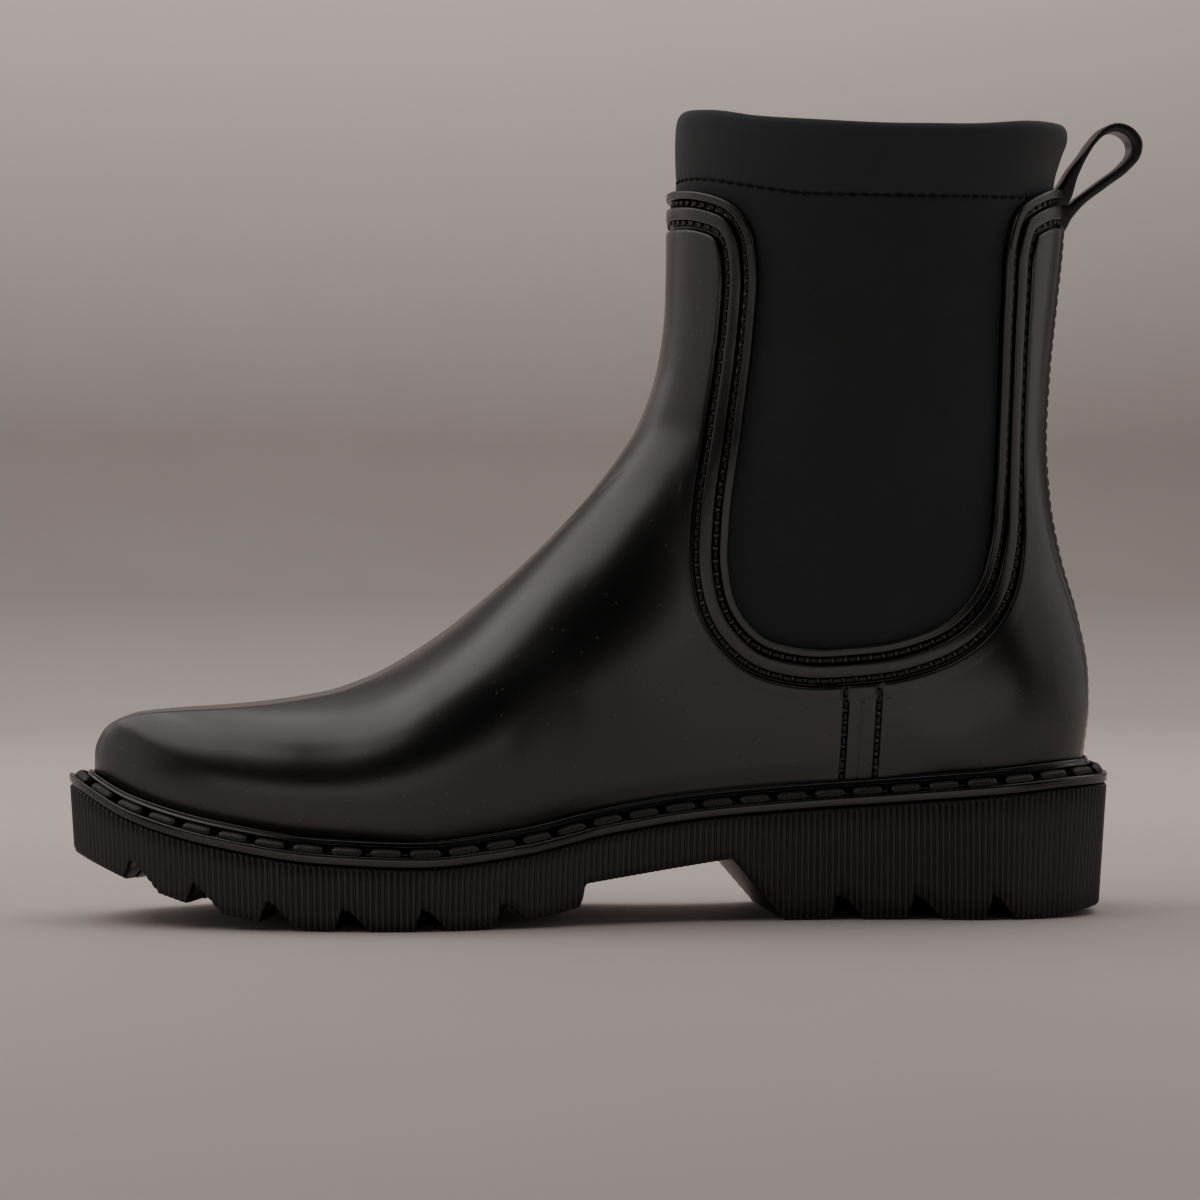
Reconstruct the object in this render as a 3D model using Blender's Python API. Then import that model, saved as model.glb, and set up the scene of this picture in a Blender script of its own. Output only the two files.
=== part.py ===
# Left rubber ankle boot: a moulded shell with two gore windows over a soft sock, on a lugged sole.
# Sizes are millimetres in the boot's own directions: "along" runs from the back of the sole to the
# toe, "out" from the middle plane to the outer side of the foot, and "up" from the floor.
# In the scene the toe points along -X, the outer side faces -Y and +Z is up, in metres.

import bmesh
import bpy
import numpy as np

MM = 0.001
GAP = 0.3  # clearance between pieces that meet

# Sole
SOLE_LENGTH = 280.0
WALL_DRAFT = 0.065  # the side wall leans in by this much of its depth
RIB_PITCH = 4.83  # every third rib of the real wall
RIB_DEPTH = 0.5
HEEL_BEVEL = 24.0  # length of the lifted back edge of the heel
HEEL_BEVEL_RISE = 3.0
HEEL_FRONT = 92.3
BREAST_TOP = (106.4, 16.6)
WAIST_FRONT = (145.8, 10.9)
FOREFOOT_BACK = 147.5
FLAT_FROM, FLAT_TO = 184.0, 206.0  # flat spot under the ball
REAR_ROCKER, TOE_ROCKER = 140.0, 155.0  # radii of the tread behind and before the flat spot
NOTCH_WIDTH = 9.5
HEEL_NOTCH_DEPTH, TOE_NOTCH_DEPTH = 6.4, 5.0
HEEL_NOTCHES = (40.0, 60.5, 80.5)  # toe side of each notch, along
TOE_NOTCHES = (170.6, 192.0, 212.6, 231.8, 250.3, 265.4)

# Outline of the sole at the top of its ribs
OUTLINE = (
    # along, outer half-width, inner half-width
    (0.0, 0.0, 0.0),
    (5.0, 23.3, 23.3),
    (19.0, 33.8, 33.8),
    (36.0, 37.4, 37.2),
    (62.0, 32.8, 32.4),
    (89.0, 30.6, 28.6),
    (116.0, 32.3, 27.0),
    (143.0, 37.2, 30.6),
    (167.0, 45.1, 38.2),
    (192.0, 49.6, 44.8),
    (221.0, 44.4, 45.4),
    (241.0, 37.1, 40.2),
    (262.0, 25.5, 28.6),
    (275.0, 13.4, 14.8),
    (SOLE_LENGTH, 0.0, 0.0),
)

# Top of the ribs: high at the heel, low at the ball, lifted at the toe
RIB_TOP = (
    # along, up
    (0.0, 35.2),
    (14.0, 34.8),
    (33.0, 33.2),
    (63.0, 30.8),
    (90.0, 29.0),
    (115.0, 27.0),
    (140.0, 23.4),
    (164.0, 18.6),
    (190.0, 16.1),
    (215.0, 17.0),
    (242.0, 20.9),
    (264.0, 27.0),
    (SOLE_LENGTH, 36.0),
)

# Welt: section from the shell's wall outwards, above the top of the ribs
WELT_REACH = 6.5
WELT_CLEAR = 0.45  # from the shell's wall
WELT_HEIGHT = 6.9
WELT_SECTION = (
    # reach, height
    (WELT_CLEAR, GAP),
    (WELT_CLEAR, 6.6),
    (0.8, WELT_HEIGHT),
    (1.3, 6.6),
    (1.6, 5.9),
    (2.2, 4.8),
    (3.4, 3.3),
    (5.4, 2.5),
    (6.0, 2.7),
    (6.5, 2.4),
    (6.6, GAP),
)

# Shell
WALL = 2.2
SHELL_FOOT = 0.5  # height of its lower edge over the top of the ribs
SIDE_TUCK = 0.07  # share of its half-width that the shell draws in at the welt
WIDEST_AT = 0.36  # share of the height from the welt to the crown where the foot is widest
ANKLE_FROM, ANKLE_TO = 52.0, 128.0  # between these heights the foot turns into the shaft
SHAFT_OVAL = 2.2  # exponent of the shaft's oval
HEEL_CARRY = (30.0, 110.0)  # the heel's shift with height fades out between these
SHELL_TOP = 206.0
SAG_UNTIL = 0.45  # share of the front's length over which the loops lose the sole's dip
SHELL_LOOPS = (
    # share of the front's length, share of the back's height
    (0.0, 0.0),
    (0.025, 0.003),
    (0.05, 0.009),
    (0.08, 0.022),
    (0.125, 0.045),
    (0.195, 0.078),
    (0.275, 0.122),
    (0.352, 0.174),
    (0.42, 0.238),
    (0.49, 0.314),
    (0.56, 0.4),
    (0.625, 0.49),
    (0.685, 0.58),
    (0.745, 0.67),
    (0.84, 0.8),
    (1.0, 1.0),
)

# Middle of the front, from the toe over the vamp to the top
FRONT = (
    # along, up
    (273.4, 44.0),
    (271.4, 50.5),
    (267.0, 55.4),
    (260.2, 58.5),
    (248.0, 60.0),
    (228.0, 60.4),
    (212.0, 61.6),
    (200.3, 64.7),
    (185.4, 72.6),
    (166.2, 87.6),
    (150.2, 102.7),
    (136.9, 117.8),
    (127.1, 133.0),
    (122.2, 148.2),
    (120.3, 163.3),
    (119.9, 180.0),
    (119.5, 226.0),
    (60.0, 420.0),
)

# Middle of the back
BACK = (
    # up, along
    (43.0, 6.6),
    (56.0, 5.2),
    (64.0, 5.4),
    (80.0, 8.3),
    (96.0, 12.7),
    (112.0, 15.4),
    (128.0, 16.4),
    (145.0, 15.6),
    (165.0, 13.6),
    (183.0, 11.5),
    (197.0, 9.8),
    (209.0, 7.2),
    (226.0, 5.5),
)

# Half-width of the shaft's oval
SHAFT = (
    # up, half-width
    (40.0, 32.5),
    (60.0, 32.5),
    (90.0, 31.5),
    (120.0, 33.0),
    (160.0, 37.0),
    (200.0, 40.0),
    (226.0, 40.5),
)

# Free edge of the shell seen from the side, from the front top round the window to the back top
FREE_EDGE = (
    # along, up
    (134.0, 195.6),
    (121.0, 194.9),
    (110.6, 192.4),
    (103.0, 186.6),
    (100.9, 176.0),
    (101.4, 155.0),
    (104.4, 129.0),
    (108.3, 103.0),
    (106.6, 86.5),
    (98.0, 76.0),
    (84.0, 71.9),
    (69.0, 72.0),
    (53.0, 76.6),
    (39.6, 86.8),
    (33.6, 101.0),
    (32.3, 130.0),
    (30.6, 170.0),
    (28.0, 185.0),
    (20.5, 192.2),
    (8.0, 195.2),
    (-6.0, 195.8),
)
EDGE_STEPS = 2  # straight pieces between two rows of the free edge
EDGE_STEP = 9.3  # width of the step in the shell along its free edge
STEP_DEPTH = 1.2
BEAD = (0.0, 2.3)  # from and to, measured from the free edge
BEAD_HEIGHT = 0.3
BAND = (3.9, 7.4)
BAND_HEIGHT = 0.0

# Strips
STAY_WIDTH = 14.0
STAY_HEIGHT = 1.0
STAY_TOP = 186.4
STRAP_ALONG = 71.5
STRAP_WIDTH = 6.8
STRAP_TOP = 61.6
STRAP_HEIGHT = 0.9
STRIP_CLEAR = 0.9  # above the welt

# Sock and cuff
SOCK_FACE = WALL + GAP  # depth of the sock's outer face behind the shell's
SOCK_THICKNESS = 2.5
SOCK_ROW = 7  # row of the shell's loops where the sock starts
HEM = (
    # along, up: lower edge of the cuff
    (-8.0, 194.2),
    (12.0, 193.4),
    (30.0, 191.4),
    (60.0, 190.8),
    (86.0, 191.2),
    (102.0, 193.6),
    (119.0, 197.2),
    (134.0, 198.0),
)
COLLAR = (
    # along, up: top of the cuff
    (-8.0, 213.6),
    (12.0, 212.4),
    (50.0, 210.4),
    (78.0, 210.8),
    (102.0, 212.8),
    (119.0, 216.0),
    (134.0, 216.6),
)
CUFF_SECTION = (
    # share of height, depth behind the shell's outer face
    (0.0, 2.9),
    (0.25, 2.7),
    (0.60, 2.5),
    (0.84, 2.7),
    (0.96, 3.6),
    (1.0, 4.8),
    (0.96, 6.0),
    (0.84, 7.0),
    (0.0, 7.2),
)

# Pull loop
LOOP_CENTRE = (-4.6, 208.5)  # along, up
LOOP_OUTER, LOOP_EYE = 7.3, 5.1
LOOP_BASE = (185.6, 196.2)  # heights where it leaves the back
LOOP_BASE_CLEAR = (1.4, 2.0)  # its distance from the shell there
LOOP_EYE_TIP = (7.4, 193.0)  # along, up
LOOP_WIDTH = 8.6

# Insole
INSOLE_THICKNESS = 4.0
INSOLE_CLEAR = 1.3

# Mesh density
HALF_COLUMNS = 19
SIDE_CLOSER = 0.1
STATIONS = 40
DENSE = 4000


def column(table, index):
    return np.array([row[index] for row in table], float)


def smooth(x, knots, values):
    """Monotone cubic curve through the knots."""
    steps = np.diff(knots)
    rise = np.diff(values) / steps
    before = 2 * steps[1:] + steps[:-1]
    after = steps[1:] + 2 * steps[:-1]
    same_way = rise[:-1] * rise[1:] > 0
    left = np.where(same_way, rise[:-1], 1.0)
    right = np.where(same_way, rise[1:], 1.0)
    mean = (before + after) / (before / left + after / right)
    slope = np.concatenate([rise[:1], np.where(same_way, mean, 0.0), rise[-1:]])
    x = np.clip(x, knots[0], knots[-1])
    i = np.clip(np.searchsorted(knots, x) - 1, 0, len(steps) - 1)
    t = (x - knots[i]) / steps[i]
    start = values[i] * (1 + 2 * t) * (1 - t) ** 2 + slope[i] * steps[i] * t * (1 - t) ** 2
    end = values[i + 1] * t**2 * (3 - 2 * t) + slope[i + 1] * steps[i] * t**2 * (t - 1)
    return start + end


def ease(x, start, end):
    t = np.clip((x - start) / (end - start), 0.0, 1.0)
    return t * t * (3 - 2 * t)


def rib_top(along):
    return smooth(along, column(RIB_TOP, 0), column(RIB_TOP, 1))


def sole_half(along, side):
    """Half-width of the sole. Squares are interpolated, so both ends close round."""
    squared = smooth(along, column(OUTLINE, 0), column(OUTLINE, 1 + side) ** 2)
    return np.sqrt(np.maximum(squared, 0.0))


def sole_line(count, inset=0.0):
    """Points evenly spaced round the sole from the toe by the outer side, with their outward normals."""
    turn = np.linspace(0, 2 * np.pi, DENSE + 1)
    along = SOLE_LENGTH * (1 + np.cos(turn)) / 2
    out = np.where(turn <= np.pi, sole_half(along, 0), -sole_half(along, 1))
    travelled = np.concatenate([[0], np.cumsum(np.hypot(np.diff(along), np.diff(out)))])
    at = np.linspace(0, travelled[-1], count, endpoint=False)
    points = np.stack([np.interp(at, travelled, along), np.interp(at, travelled, out)], axis=1)
    way = np.roll(points, -1, axis=0) - np.roll(points, 1, axis=0)
    normals = np.stack([way[:, 1], -way[:, 0]], axis=1)
    normals /= np.linalg.norm(normals, axis=1, keepdims=True)
    return points - inset * normals, normals


def sole_length_round():
    points, _ = sole_line(DENSE)
    return np.linalg.norm(points - np.roll(points, 1, axis=0), axis=1).sum()


def half_widths(inset):
    """For each side, sorted distances along and squared half-widths of the inset outline."""
    points, _ = sole_line(DENSE, inset)
    sides = []
    for sign in (1, -1):
        chosen = points[points[:, 1] * sign >= 0]
        chosen = chosen[np.argsort(chosen[:, 0])]
        squares = chosen[:, 1] ** 2
        squares[0] = squares[-1] = 0.0
        sides.append((chosen[:, 0], squares))
    return sides


FOOT = half_widths(WELT_REACH)
HEEL_END = FOOT[0][0][0]
TOE_END = FOOT[0][0][-1]


def dense_line(table, first):
    """The table's curve at close steps of length, from an added first point."""
    rows = np.concatenate([[first], np.array(table, float)])
    lengths = np.concatenate([[0], np.cumsum(np.hypot(*np.diff(rows, axis=0).T))])
    at = np.linspace(0, lengths[-1], DENSE)
    return np.stack([smooth(at, lengths, rows[:, 0]), smooth(at, lengths, rows[:, 1])], axis=1)


FRONT_LINE = dense_line(FRONT, (TOE_END, rib_top(TOE_END) + WELT_HEIGHT))


def crown(along):
    """Height of the middle of the front."""
    return np.interp(along, FRONT_LINE[::-1, 0], FRONT_LINE[::-1, 1])


def front_at(up):
    return np.interp(up, FRONT_LINE[:, 1], FRONT_LINE[:, 0])


def back_at(up):
    return smooth(up, column(BACK, 0), column(BACK, 1))


def shell_half(along, up, side):
    """Half-width of the shell's outer face: upright half-ovals over the foot, level ovals in the shaft."""
    carried = (back_at(up) - back_at(0.0)) * (1 - ease(along, *HEEL_CARRY))
    foot_along, foot_squares = FOOT[side]
    foot = np.sqrt(np.interp(along - carried, foot_along, foot_squares))
    base = rib_top(along) + WELT_HEIGHT
    height = np.clip((up - base) / np.maximum(crown(along) - base, 1.0), 0.0, 1.0)
    above = np.clip((height - WIDEST_AT) / (1 - WIDEST_AT), 0.0, 1.0)
    below = np.clip((WIDEST_AT - height) / WIDEST_AT, 0.0, 1.0)
    foot *= np.sqrt(1 - above**2) * (1 - SIDE_TUCK * below**2) / (1 - SIDE_TUCK)
    front, back = front_at(up), back_at(up)
    across = np.clip((2 * along - front - back) / (front - back), -1.0, 1.0)
    shaft = smooth(up, column(SHAFT, 0), column(SHAFT, 1)) * np.sqrt(1 - np.abs(across) ** SHAFT_OVAL)
    share = ease(up, ANKLE_FROM, ANKLE_TO)
    return foot * (1 - share) + shaft * share


def loop_steps():
    """Turns round a loop, a little closer at its sides, and how far forward each lies."""
    turn = np.linspace(0, 2 * np.pi, 2 * HALF_COLUMNS, endpoint=False)
    turn = turn + SIDE_CLOSER * np.sin(2 * turn)
    return turn, (1 + np.cos(turn)) / 2


def shell_grid():
    """Loops of points on the shell's outer face, the first two upright behind the welt.
    Each loop runs from the front to the back by the outer side, and they fan out from the heel."""
    travelled = np.concatenate([[0], np.cumsum(np.hypot(*np.diff(FRONT_LINE, axis=0).T))])
    reach = np.interp(SHELL_TOP, FRONT_LINE[:, 1], travelled)
    share = column(SHELL_LOOPS, 0)[:, None]
    front = [np.interp(share * reach, travelled, FRONT_LINE[:, i]) for i in (0, 1)]
    heel_low, toe_low = rib_top(np.array([HEEL_END, TOE_END])) + WELT_HEIGHT
    back_up = heel_low + (SHELL_TOP - heel_low) * column(SHELL_LOOPS, 1)[:, None]
    back = np.where(share > 0, back_at(back_up), HEEL_END)
    turn, forward = loop_steps()
    along = back + (front[0] - back) * forward
    level = heel_low + (toe_low - heel_low) * (along - HEEL_END) / (TOE_END - HEEL_END)
    sag = np.clip(1 - share / SAG_UNTIL, 0.0, 1.0) ** 2
    up = back_up + (front[1] - back_up) * forward + sag * (rib_top(along) + WELT_HEIGHT - level)
    out = np.where(turn < np.pi, shell_half(along, up, 0), -shell_half(along, up, 1))
    out[:, [0, HALF_COLUMNS]] = 0.0
    grid = np.stack([along, out, up], axis=-1)
    foot = grid[:1] + np.array([0.0, 0.0, SHELL_FOOT - WELT_HEIGHT])
    return np.concatenate([foot, grid])


def pushed_out(grid, distance):
    """The grid moved along its outward normals."""
    round_way = np.roll(grid, -1, axis=1) - np.roll(grid, 1, axis=1)
    up_way = np.gradient(grid, axis=0)
    normals = np.cross(round_way, up_way)
    normals /= np.linalg.norm(normals, axis=-1, keepdims=True)
    outward = np.sign((normals[..., 1] * grid[..., 1]).sum())
    return grid + outward * distance * normals


def curve_through(table, steps):
    """Smooth open curve through the rows of a table, by cubic pieces with chord-length tangents."""
    rows = np.array(table, float)
    lengths = np.concatenate([[0], np.cumsum(np.hypot(*np.diff(rows, axis=0).T))])
    slopes = np.gradient(rows, lengths, axis=0)
    points = []
    for i in range(len(rows) - 1):
        t = np.linspace(0, 1, steps, endpoint=False)[:, None]
        span = lengths[i + 1] - lengths[i]
        leave = rows[i] * (1 + 2 * t) * (1 - t) ** 2 + slopes[i] * span * t * (1 - t) ** 2
        reach = rows[i + 1] * t**2 * (3 - 2 * t) + slopes[i + 1] * span * t**2 * (t - 1)
        points.append(leave + reach)
    return np.concatenate(points + [rows[-1:]])


def edge_line(distance):
    """The free edge moved into the rubber by a distance."""
    line = curve_through(FREE_EDGE, EDGE_STEPS)
    way = np.gradient(line, axis=0)
    way /= np.linalg.norm(way, axis=1, keepdims=True)
    return line + distance * np.stack([-way[:, 1], way[:, 0]], axis=1)


def tread(along):
    """Height of the running surface of the forefoot, without its notches."""
    behind = np.maximum(FLAT_FROM - along, 0.0)
    before = np.maximum(along - FLAT_TO, 0.0)
    rear = REAR_ROCKER - np.sqrt(REAR_ROCKER**2 - behind**2)
    return rear + TOE_ROCKER - np.sqrt(TOE_ROCKER**2 - before**2)


LOOP_BACK = LOOP_CENTRE[0] - LOOP_OUTER
MIDDLE_ALONG = (SOLE_LENGTH + LOOP_BACK) / 2
MIDDLE_OUT = (sole_half(np.arange(SOLE_LENGTH), 0).max() - sole_half(np.arange(SOLE_LENGTH), 1).max()) / 2


def placed(points):
    """Boot millimetres to scene metres."""
    points = np.asarray(points, float)
    x = MIDDLE_ALONG - points[..., 0]
    y = MIDDLE_OUT - points[..., 1]
    return np.stack([x, y, points[..., 2]], axis=-1) * MM


for old in list(bpy.data.objects):
    bpy.data.objects.remove(old, do_unlink=True)

parts = bpy.data.collections.new("rubber_ankle_boot")
cutters = bpy.data.collections.new("cutters")
bpy.context.scene.collection.children.link(parts)
bpy.context.scene.collection.children.link(cutters)
root = bpy.data.objects.new("boot", None)
parts.objects.link(root)


def finish(name, colour, roughness):
    material = bpy.data.materials.new(name)
    material.use_nodes = True
    shader = material.node_tree.nodes["Principled BSDF"]
    shader.inputs["Base Color"].default_value = (*colour, 1.0)
    shader.inputs["Roughness"].default_value = roughness
    return material


def mesh_object(name, build, collection):
    """A new object whose mesh is filled by build, with its faces turned outwards."""
    mesh = bpy.data.meshes.new(name)
    shape = bmesh.new()
    build(shape)
    bmesh.ops.recalc_face_normals(shape, faces=shape.faces)
    shape.to_mesh(mesh)
    shape.free()
    thing = bpy.data.objects.new(name, mesh)
    collection.objects.link(thing)
    thing.parent = root
    return thing


def part(name, build, colour, roughness):
    thing = mesh_object(name, build, parts)
    thing.data.materials.append(finish(name, colour, roughness))
    return thing


def cutter(name, build):
    thing = mesh_object(name, build, cutters)
    thing.hide_render = True
    thing.display_type = "WIRE"
    return thing


def boolean(thing, operation, tool):
    step = thing.modifiers.new(tool.name, "BOOLEAN")
    step.operation = operation
    step.solver = "EXACT"
    step.object = tool


def ring(loops, turn):
    """Builder of a closed tube through loops of points, the last joined to the first.
    Past the loop where a wall turns back, the triangles are split the other way, so its faces run parallel."""

    def build(shape):
        rows = [[shape.verts.new(point) for point in loop] for loop in placed(loops)]
        for k, row in enumerate(rows):
            after = rows[(k + 1) % len(rows)]
            for i in range(len(row)):
                j = (i + 1) % len(row)
                if k < turn:
                    corners = (row[i], row[j], after[j]), (row[i], after[j], after[i])
                else:
                    corners = (row[i], row[j], after[i]), (row[j], after[j], after[i])
                for corner in corners:
                    shape.faces.new(corner)

    return build


def shell(outer, inner, first=0):
    """Builder of a wall between two distances from the shell's outer face, from one of its loops up."""
    grid = shell_grid()
    outside = pushed_out(grid, outer)[first:]
    inside = pushed_out(grid, inner)[first:]
    return ring(np.concatenate([outside, inside[::-1]]), len(outside))


def prism(profile, out_from=-90.0, out_to=90.0):
    """Builder of an upright profile of along and up carried across the boot."""

    def build(shape):
        near = [(along, out_from, up) for along, up in profile]
        face = shape.faces.new([shape.verts.new(point) for point in placed(near)])
        grown = bmesh.ops.extrude_face_region(shape, geom=[face])
        moved = [item for item in grown["geom"] if isinstance(item, bmesh.types.BMVert)]
        bmesh.ops.translate(shape, verts=moved, vec=(0.0, (out_from - out_to) * MM, 0.0))

    return build


def box(low, high):
    """Builder of a box between two corners."""

    def build(shape):
        ends = placed([low, high])
        size = np.abs(ends[1] - ends[0])
        cube = bmesh.ops.create_cube(shape, size=1.0)
        bmesh.ops.scale(shape, verts=cube["verts"], vec=size)
        bmesh.ops.translate(shape, verts=cube["verts"], vec=ends.mean(axis=0))

    return build


def stack(lower, upper):
    """Builder of a body between two loops with flat ends."""

    def build(shape):
        rows = [[shape.verts.new(point) for point in placed(loop)] for loop in (lower, upper)]
        for i in range(len(lower)):
            j = (i + 1) % len(lower)
            shape.faces.new((rows[0][i], rows[0][j], rows[1][j], rows[1][i]))
        shape.faces.new(rows[0][::-1])
        shape.faces.new(rows[1])
        bmesh.ops.triangulate(shape, faces=shape.faces)

    return build


def notch(toe_side, depth, floor):
    """Four corners of a notch: a slanted wall on the heel side and an upright one on the toe side."""
    heel_side = toe_side - NOTCH_WIDTH
    top = heel_side + depth
    return [
        (heel_side, floor(heel_side)),
        (top, floor(top) + depth),
        (toe_side, floor(toe_side) + depth),
        (toe_side, floor(toe_side)),
    ]


def sole_profile():
    """Side view of the sole: heel, breast, waist, forefoot with notches, then back along the rib tops."""
    beyond = 6.0
    lift = HEEL_BEVEL_RISE * (HEEL_BEVEL + beyond) / HEEL_BEVEL
    points = [(-beyond, lift), (HEEL_BEVEL, 0.0)]
    for toe_side in HEEL_NOTCHES:
        points += notch(toe_side, HEEL_NOTCH_DEPTH, lambda along: 0.0)
    points += [(HEEL_FRONT, 0.0), BREAST_TOP, WAIST_FRONT]
    lug_from = FOREFOOT_BACK
    for toe_side in TOE_NOTCHES + (SOLE_LENGTH + beyond + NOTCH_WIDTH,):
        lug = np.linspace(lug_from, toe_side - NOTCH_WIDTH, 4)
        points += list(zip(lug[:-1], tread(lug[:-1])))
        if toe_side < SOLE_LENGTH:
            points += notch(toe_side, TOE_NOTCH_DEPTH, tread)[:-1]
        lug_from = toe_side
    end = SOLE_LENGTH + beyond
    points.append((end, tread(end)))
    top = np.linspace(end, -beyond, STATIONS)
    return points + list(zip(top, rib_top(top)))


def ribbed_wall():
    """Upright body whose outline is the sole's, with its side drawn into ribs and leaning in below."""
    ribs = round(sole_length_round() / RIB_PITCH)
    points, normals = sole_line(2 * ribs)
    depth = np.where(np.arange(2 * ribs) % 2 == 0, 0.0, RIB_DEPTH)
    loops = []
    for up in (-6.0, 52.0):
        lean = (up - rib_top(points[:, 0])) * WALL_DRAFT
        moved = points + normals * (lean - depth)[:, None]
        loops.append(np.column_stack([moved, np.full(2 * ribs, up)]))
    return stack(*loops)


def welt_loops():
    """Loops of the welt, with a column beside each of the shell's."""
    foot = shell_grid()[0, :, :2]
    points, normals = sole_line(DENSE, WELT_REACH)
    nearest = [np.hypot(*(points - point).T).argmin() for point in foot]
    loops = []
    for reach, height in WELT_SECTION:
        moved = foot + normals[nearest] * reach
        loops.append(np.column_stack([moved, rib_top(moved[:, 0]) + height]))
    return np.array(loops)


def insole_loops():
    """Closed strip of four-sided sections across the foot bed, from heel to toe."""
    sides = half_widths(WELT_REACH + WALL + INSOLE_CLEAR)
    ends = sides[0][0][[0, -1]]
    share = (1 - np.cos(np.linspace(0, np.pi, STATIONS + 2)))[1:-1] / 2
    along = ends[0] + (ends[1] - ends[0]) * share
    outer = np.sqrt(np.interp(along, *sides[0]))
    inner = -np.sqrt(np.interp(along, *sides[1]))
    low = rib_top(along) + GAP
    corners = ((outer, 0.0), (outer, INSOLE_THICKNESS), (inner, INSOLE_THICKNESS), (inner, 0.0))
    return np.stack([np.stack([along, out, low + lift], axis=-1) for out, lift in corners], axis=1)


def bar(sections):
    """Builder of a solid through open-ended sections, with both ends closed."""

    def build(shape):
        rows = [[shape.verts.new(point) for point in section] for section in placed(sections)]
        for row, after in zip(rows, rows[1:]):
            for i in range(len(row)):
                j = (i + 1) % len(row)
                shape.faces.new((row[i], row[j], after[j], after[i]))
        shape.faces.new(rows[0])
        shape.faces.new(rows[-1][::-1])

    return build


def cuff_loops():
    """Loops of the padded collar: its section carried round the shaft between hem and collar lines."""
    turn, forward = loop_steps()
    rows = []
    for share in np.unique([row[0] for row in CUFF_SECTION]):
        up = np.full(len(turn), SHELL_TOP)
        for _ in range(3):
            along = back_at(up) + (front_at(up) - back_at(up)) * forward
            low = smooth(along, column(HEM, 0), column(HEM, 1))
            high = smooth(along, column(COLLAR, 0), column(COLLAR, 1))
            up = low + GAP + (high - low - GAP) * share
        out = np.where(turn < np.pi, shell_half(along, up, 0), -shell_half(along, up, 1))
        out[[0, HALF_COLUMNS]] = 0.0
        rows.append(np.stack([along, out, up], axis=-1))
    shares = list(np.unique([row[0] for row in CUFF_SECTION]))
    grid = np.array(rows)
    return np.array([pushed_out(grid, -depth)[shares.index(share)] for share, depth in CUFF_SECTION])


def tangent_arc(centre, radius, first, last, steps):
    """Arc of a circle that lines from two outside points touch, the long way round."""
    angles = []
    for point, sign in ((first, 1), (last, -1)):
        offset = np.subtract(point, centre)
        angles.append(np.arctan2(offset[1], offset[0]) + sign * np.arccos(radius / np.hypot(*offset)))
    start, end = angles
    if end < start:
        end += 2 * np.pi
    turn = np.linspace(start, end, steps)
    return [(centre[0] + radius * np.cos(t), centre[1] + radius * np.sin(t)) for t in turn]


def pull_loop():
    """Teardrop strap standing in the middle plane: a filled flat outline with an eye."""
    low, high = [(back_at(up) - clear, up) for up, clear in zip(LOOP_BASE, LOOP_BASE_CLEAR)]
    outer = [low, high] + tangent_arc(LOOP_CENTRE, LOOP_OUTER, high, low, 14)
    eye = [LOOP_EYE_TIP] + tangent_arc(LOOP_CENTRE, LOOP_EYE, LOOP_EYE_TIP, LOOP_EYE_TIP, 12)
    line = bpy.data.curves.new("pull_loop", "CURVE")
    line.dimensions = "2D"
    line.fill_mode = "BOTH"
    line.extrude = LOOP_WIDTH / 2 * MM
    for outline in (outer, eye):
        spline = line.splines.new("POLY")
        spline.points.add(len(outline) - 1)
        for point, (along, up) in zip(spline.points, outline):
            point.co = ((MIDDLE_ALONG - along) * MM, up * MM, 0.0, 1.0)
        spline.use_cyclic_u = True
    thing = bpy.data.objects.new("pull_loop", line)
    parts.objects.link(thing)
    thing.rotation_euler = (np.pi / 2, 0.0, 0.0)
    thing.location = (0.0, MIDDLE_OUT * MM, 0.0)
    thing.parent = root
    line.materials.append(finish("pull_loop", (0.012, 0.012, 0.013), 0.42))
    return thing


rubber = (0.012, 0.012, 0.013)
cloth = (0.02, 0.02, 0.022)

outsole = part("outsole", prism(sole_profile()), rubber, 0.55)
boolean(outsole, "INTERSECT", cutter("ribbed_wall", ribbed_wall()))

part("welt", ring(welt_loops(), len(WELT_SECTION)), rubber, 0.45)
part("insole", bar(insole_loops()), cloth, 0.85)

# Above and inside the free edge nothing is left of the shell
edge = [tuple(point) for point in edge_line(0.0)]
above = [(edge[-1][0], SHELL_TOP + 20.0), (edge[0][0], SHELL_TOP + 20.0)]
opening = cutter("opening", prism(edge + above))
upper = part("upper", shell(0.0, -WALL), rubber, 0.4)
boolean(upper, "DIFFERENCE", opening)
past_edge = 1.0
step_ribbon = list(edge_line(-past_edge)) + list(edge_line(EDGE_STEP)[::-1])
edge_step = cutter("edge_step", shell(past_edge, -STEP_DEPTH))
boolean(edge_step, "INTERSECT", cutter("step_ribbon", prism(step_ribbon)))
boolean(upper, "DIFFERENCE", edge_step)

for name, (start, end), height in (
    ("edge_bead", BEAD, BEAD_HEIGHT),
    ("edge_band", BAND, BAND_HEIGHT),
):
    ribbon = list(edge_line(start)) + list(edge_line(end)[::-1])
    strip = part(name, shell(height, GAP - STEP_DEPTH), rubber, 0.4)
    boolean(strip, "INTERSECT", cutter(name + "_ribbon", prism(ribbon)))

stay = part("back_stay", shell(STAY_HEIGHT, GAP), rubber, 0.42)
stay_low = rib_top(HEEL_END) + WELT_HEIGHT + STRIP_CLEAR
stay_box = box((-20.0, -STAY_WIDTH / 2, stay_low), (45.0, STAY_WIDTH / 2, STAY_TOP))
boolean(stay, "INTERSECT", cutter("back_stay_box", stay_box))

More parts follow.
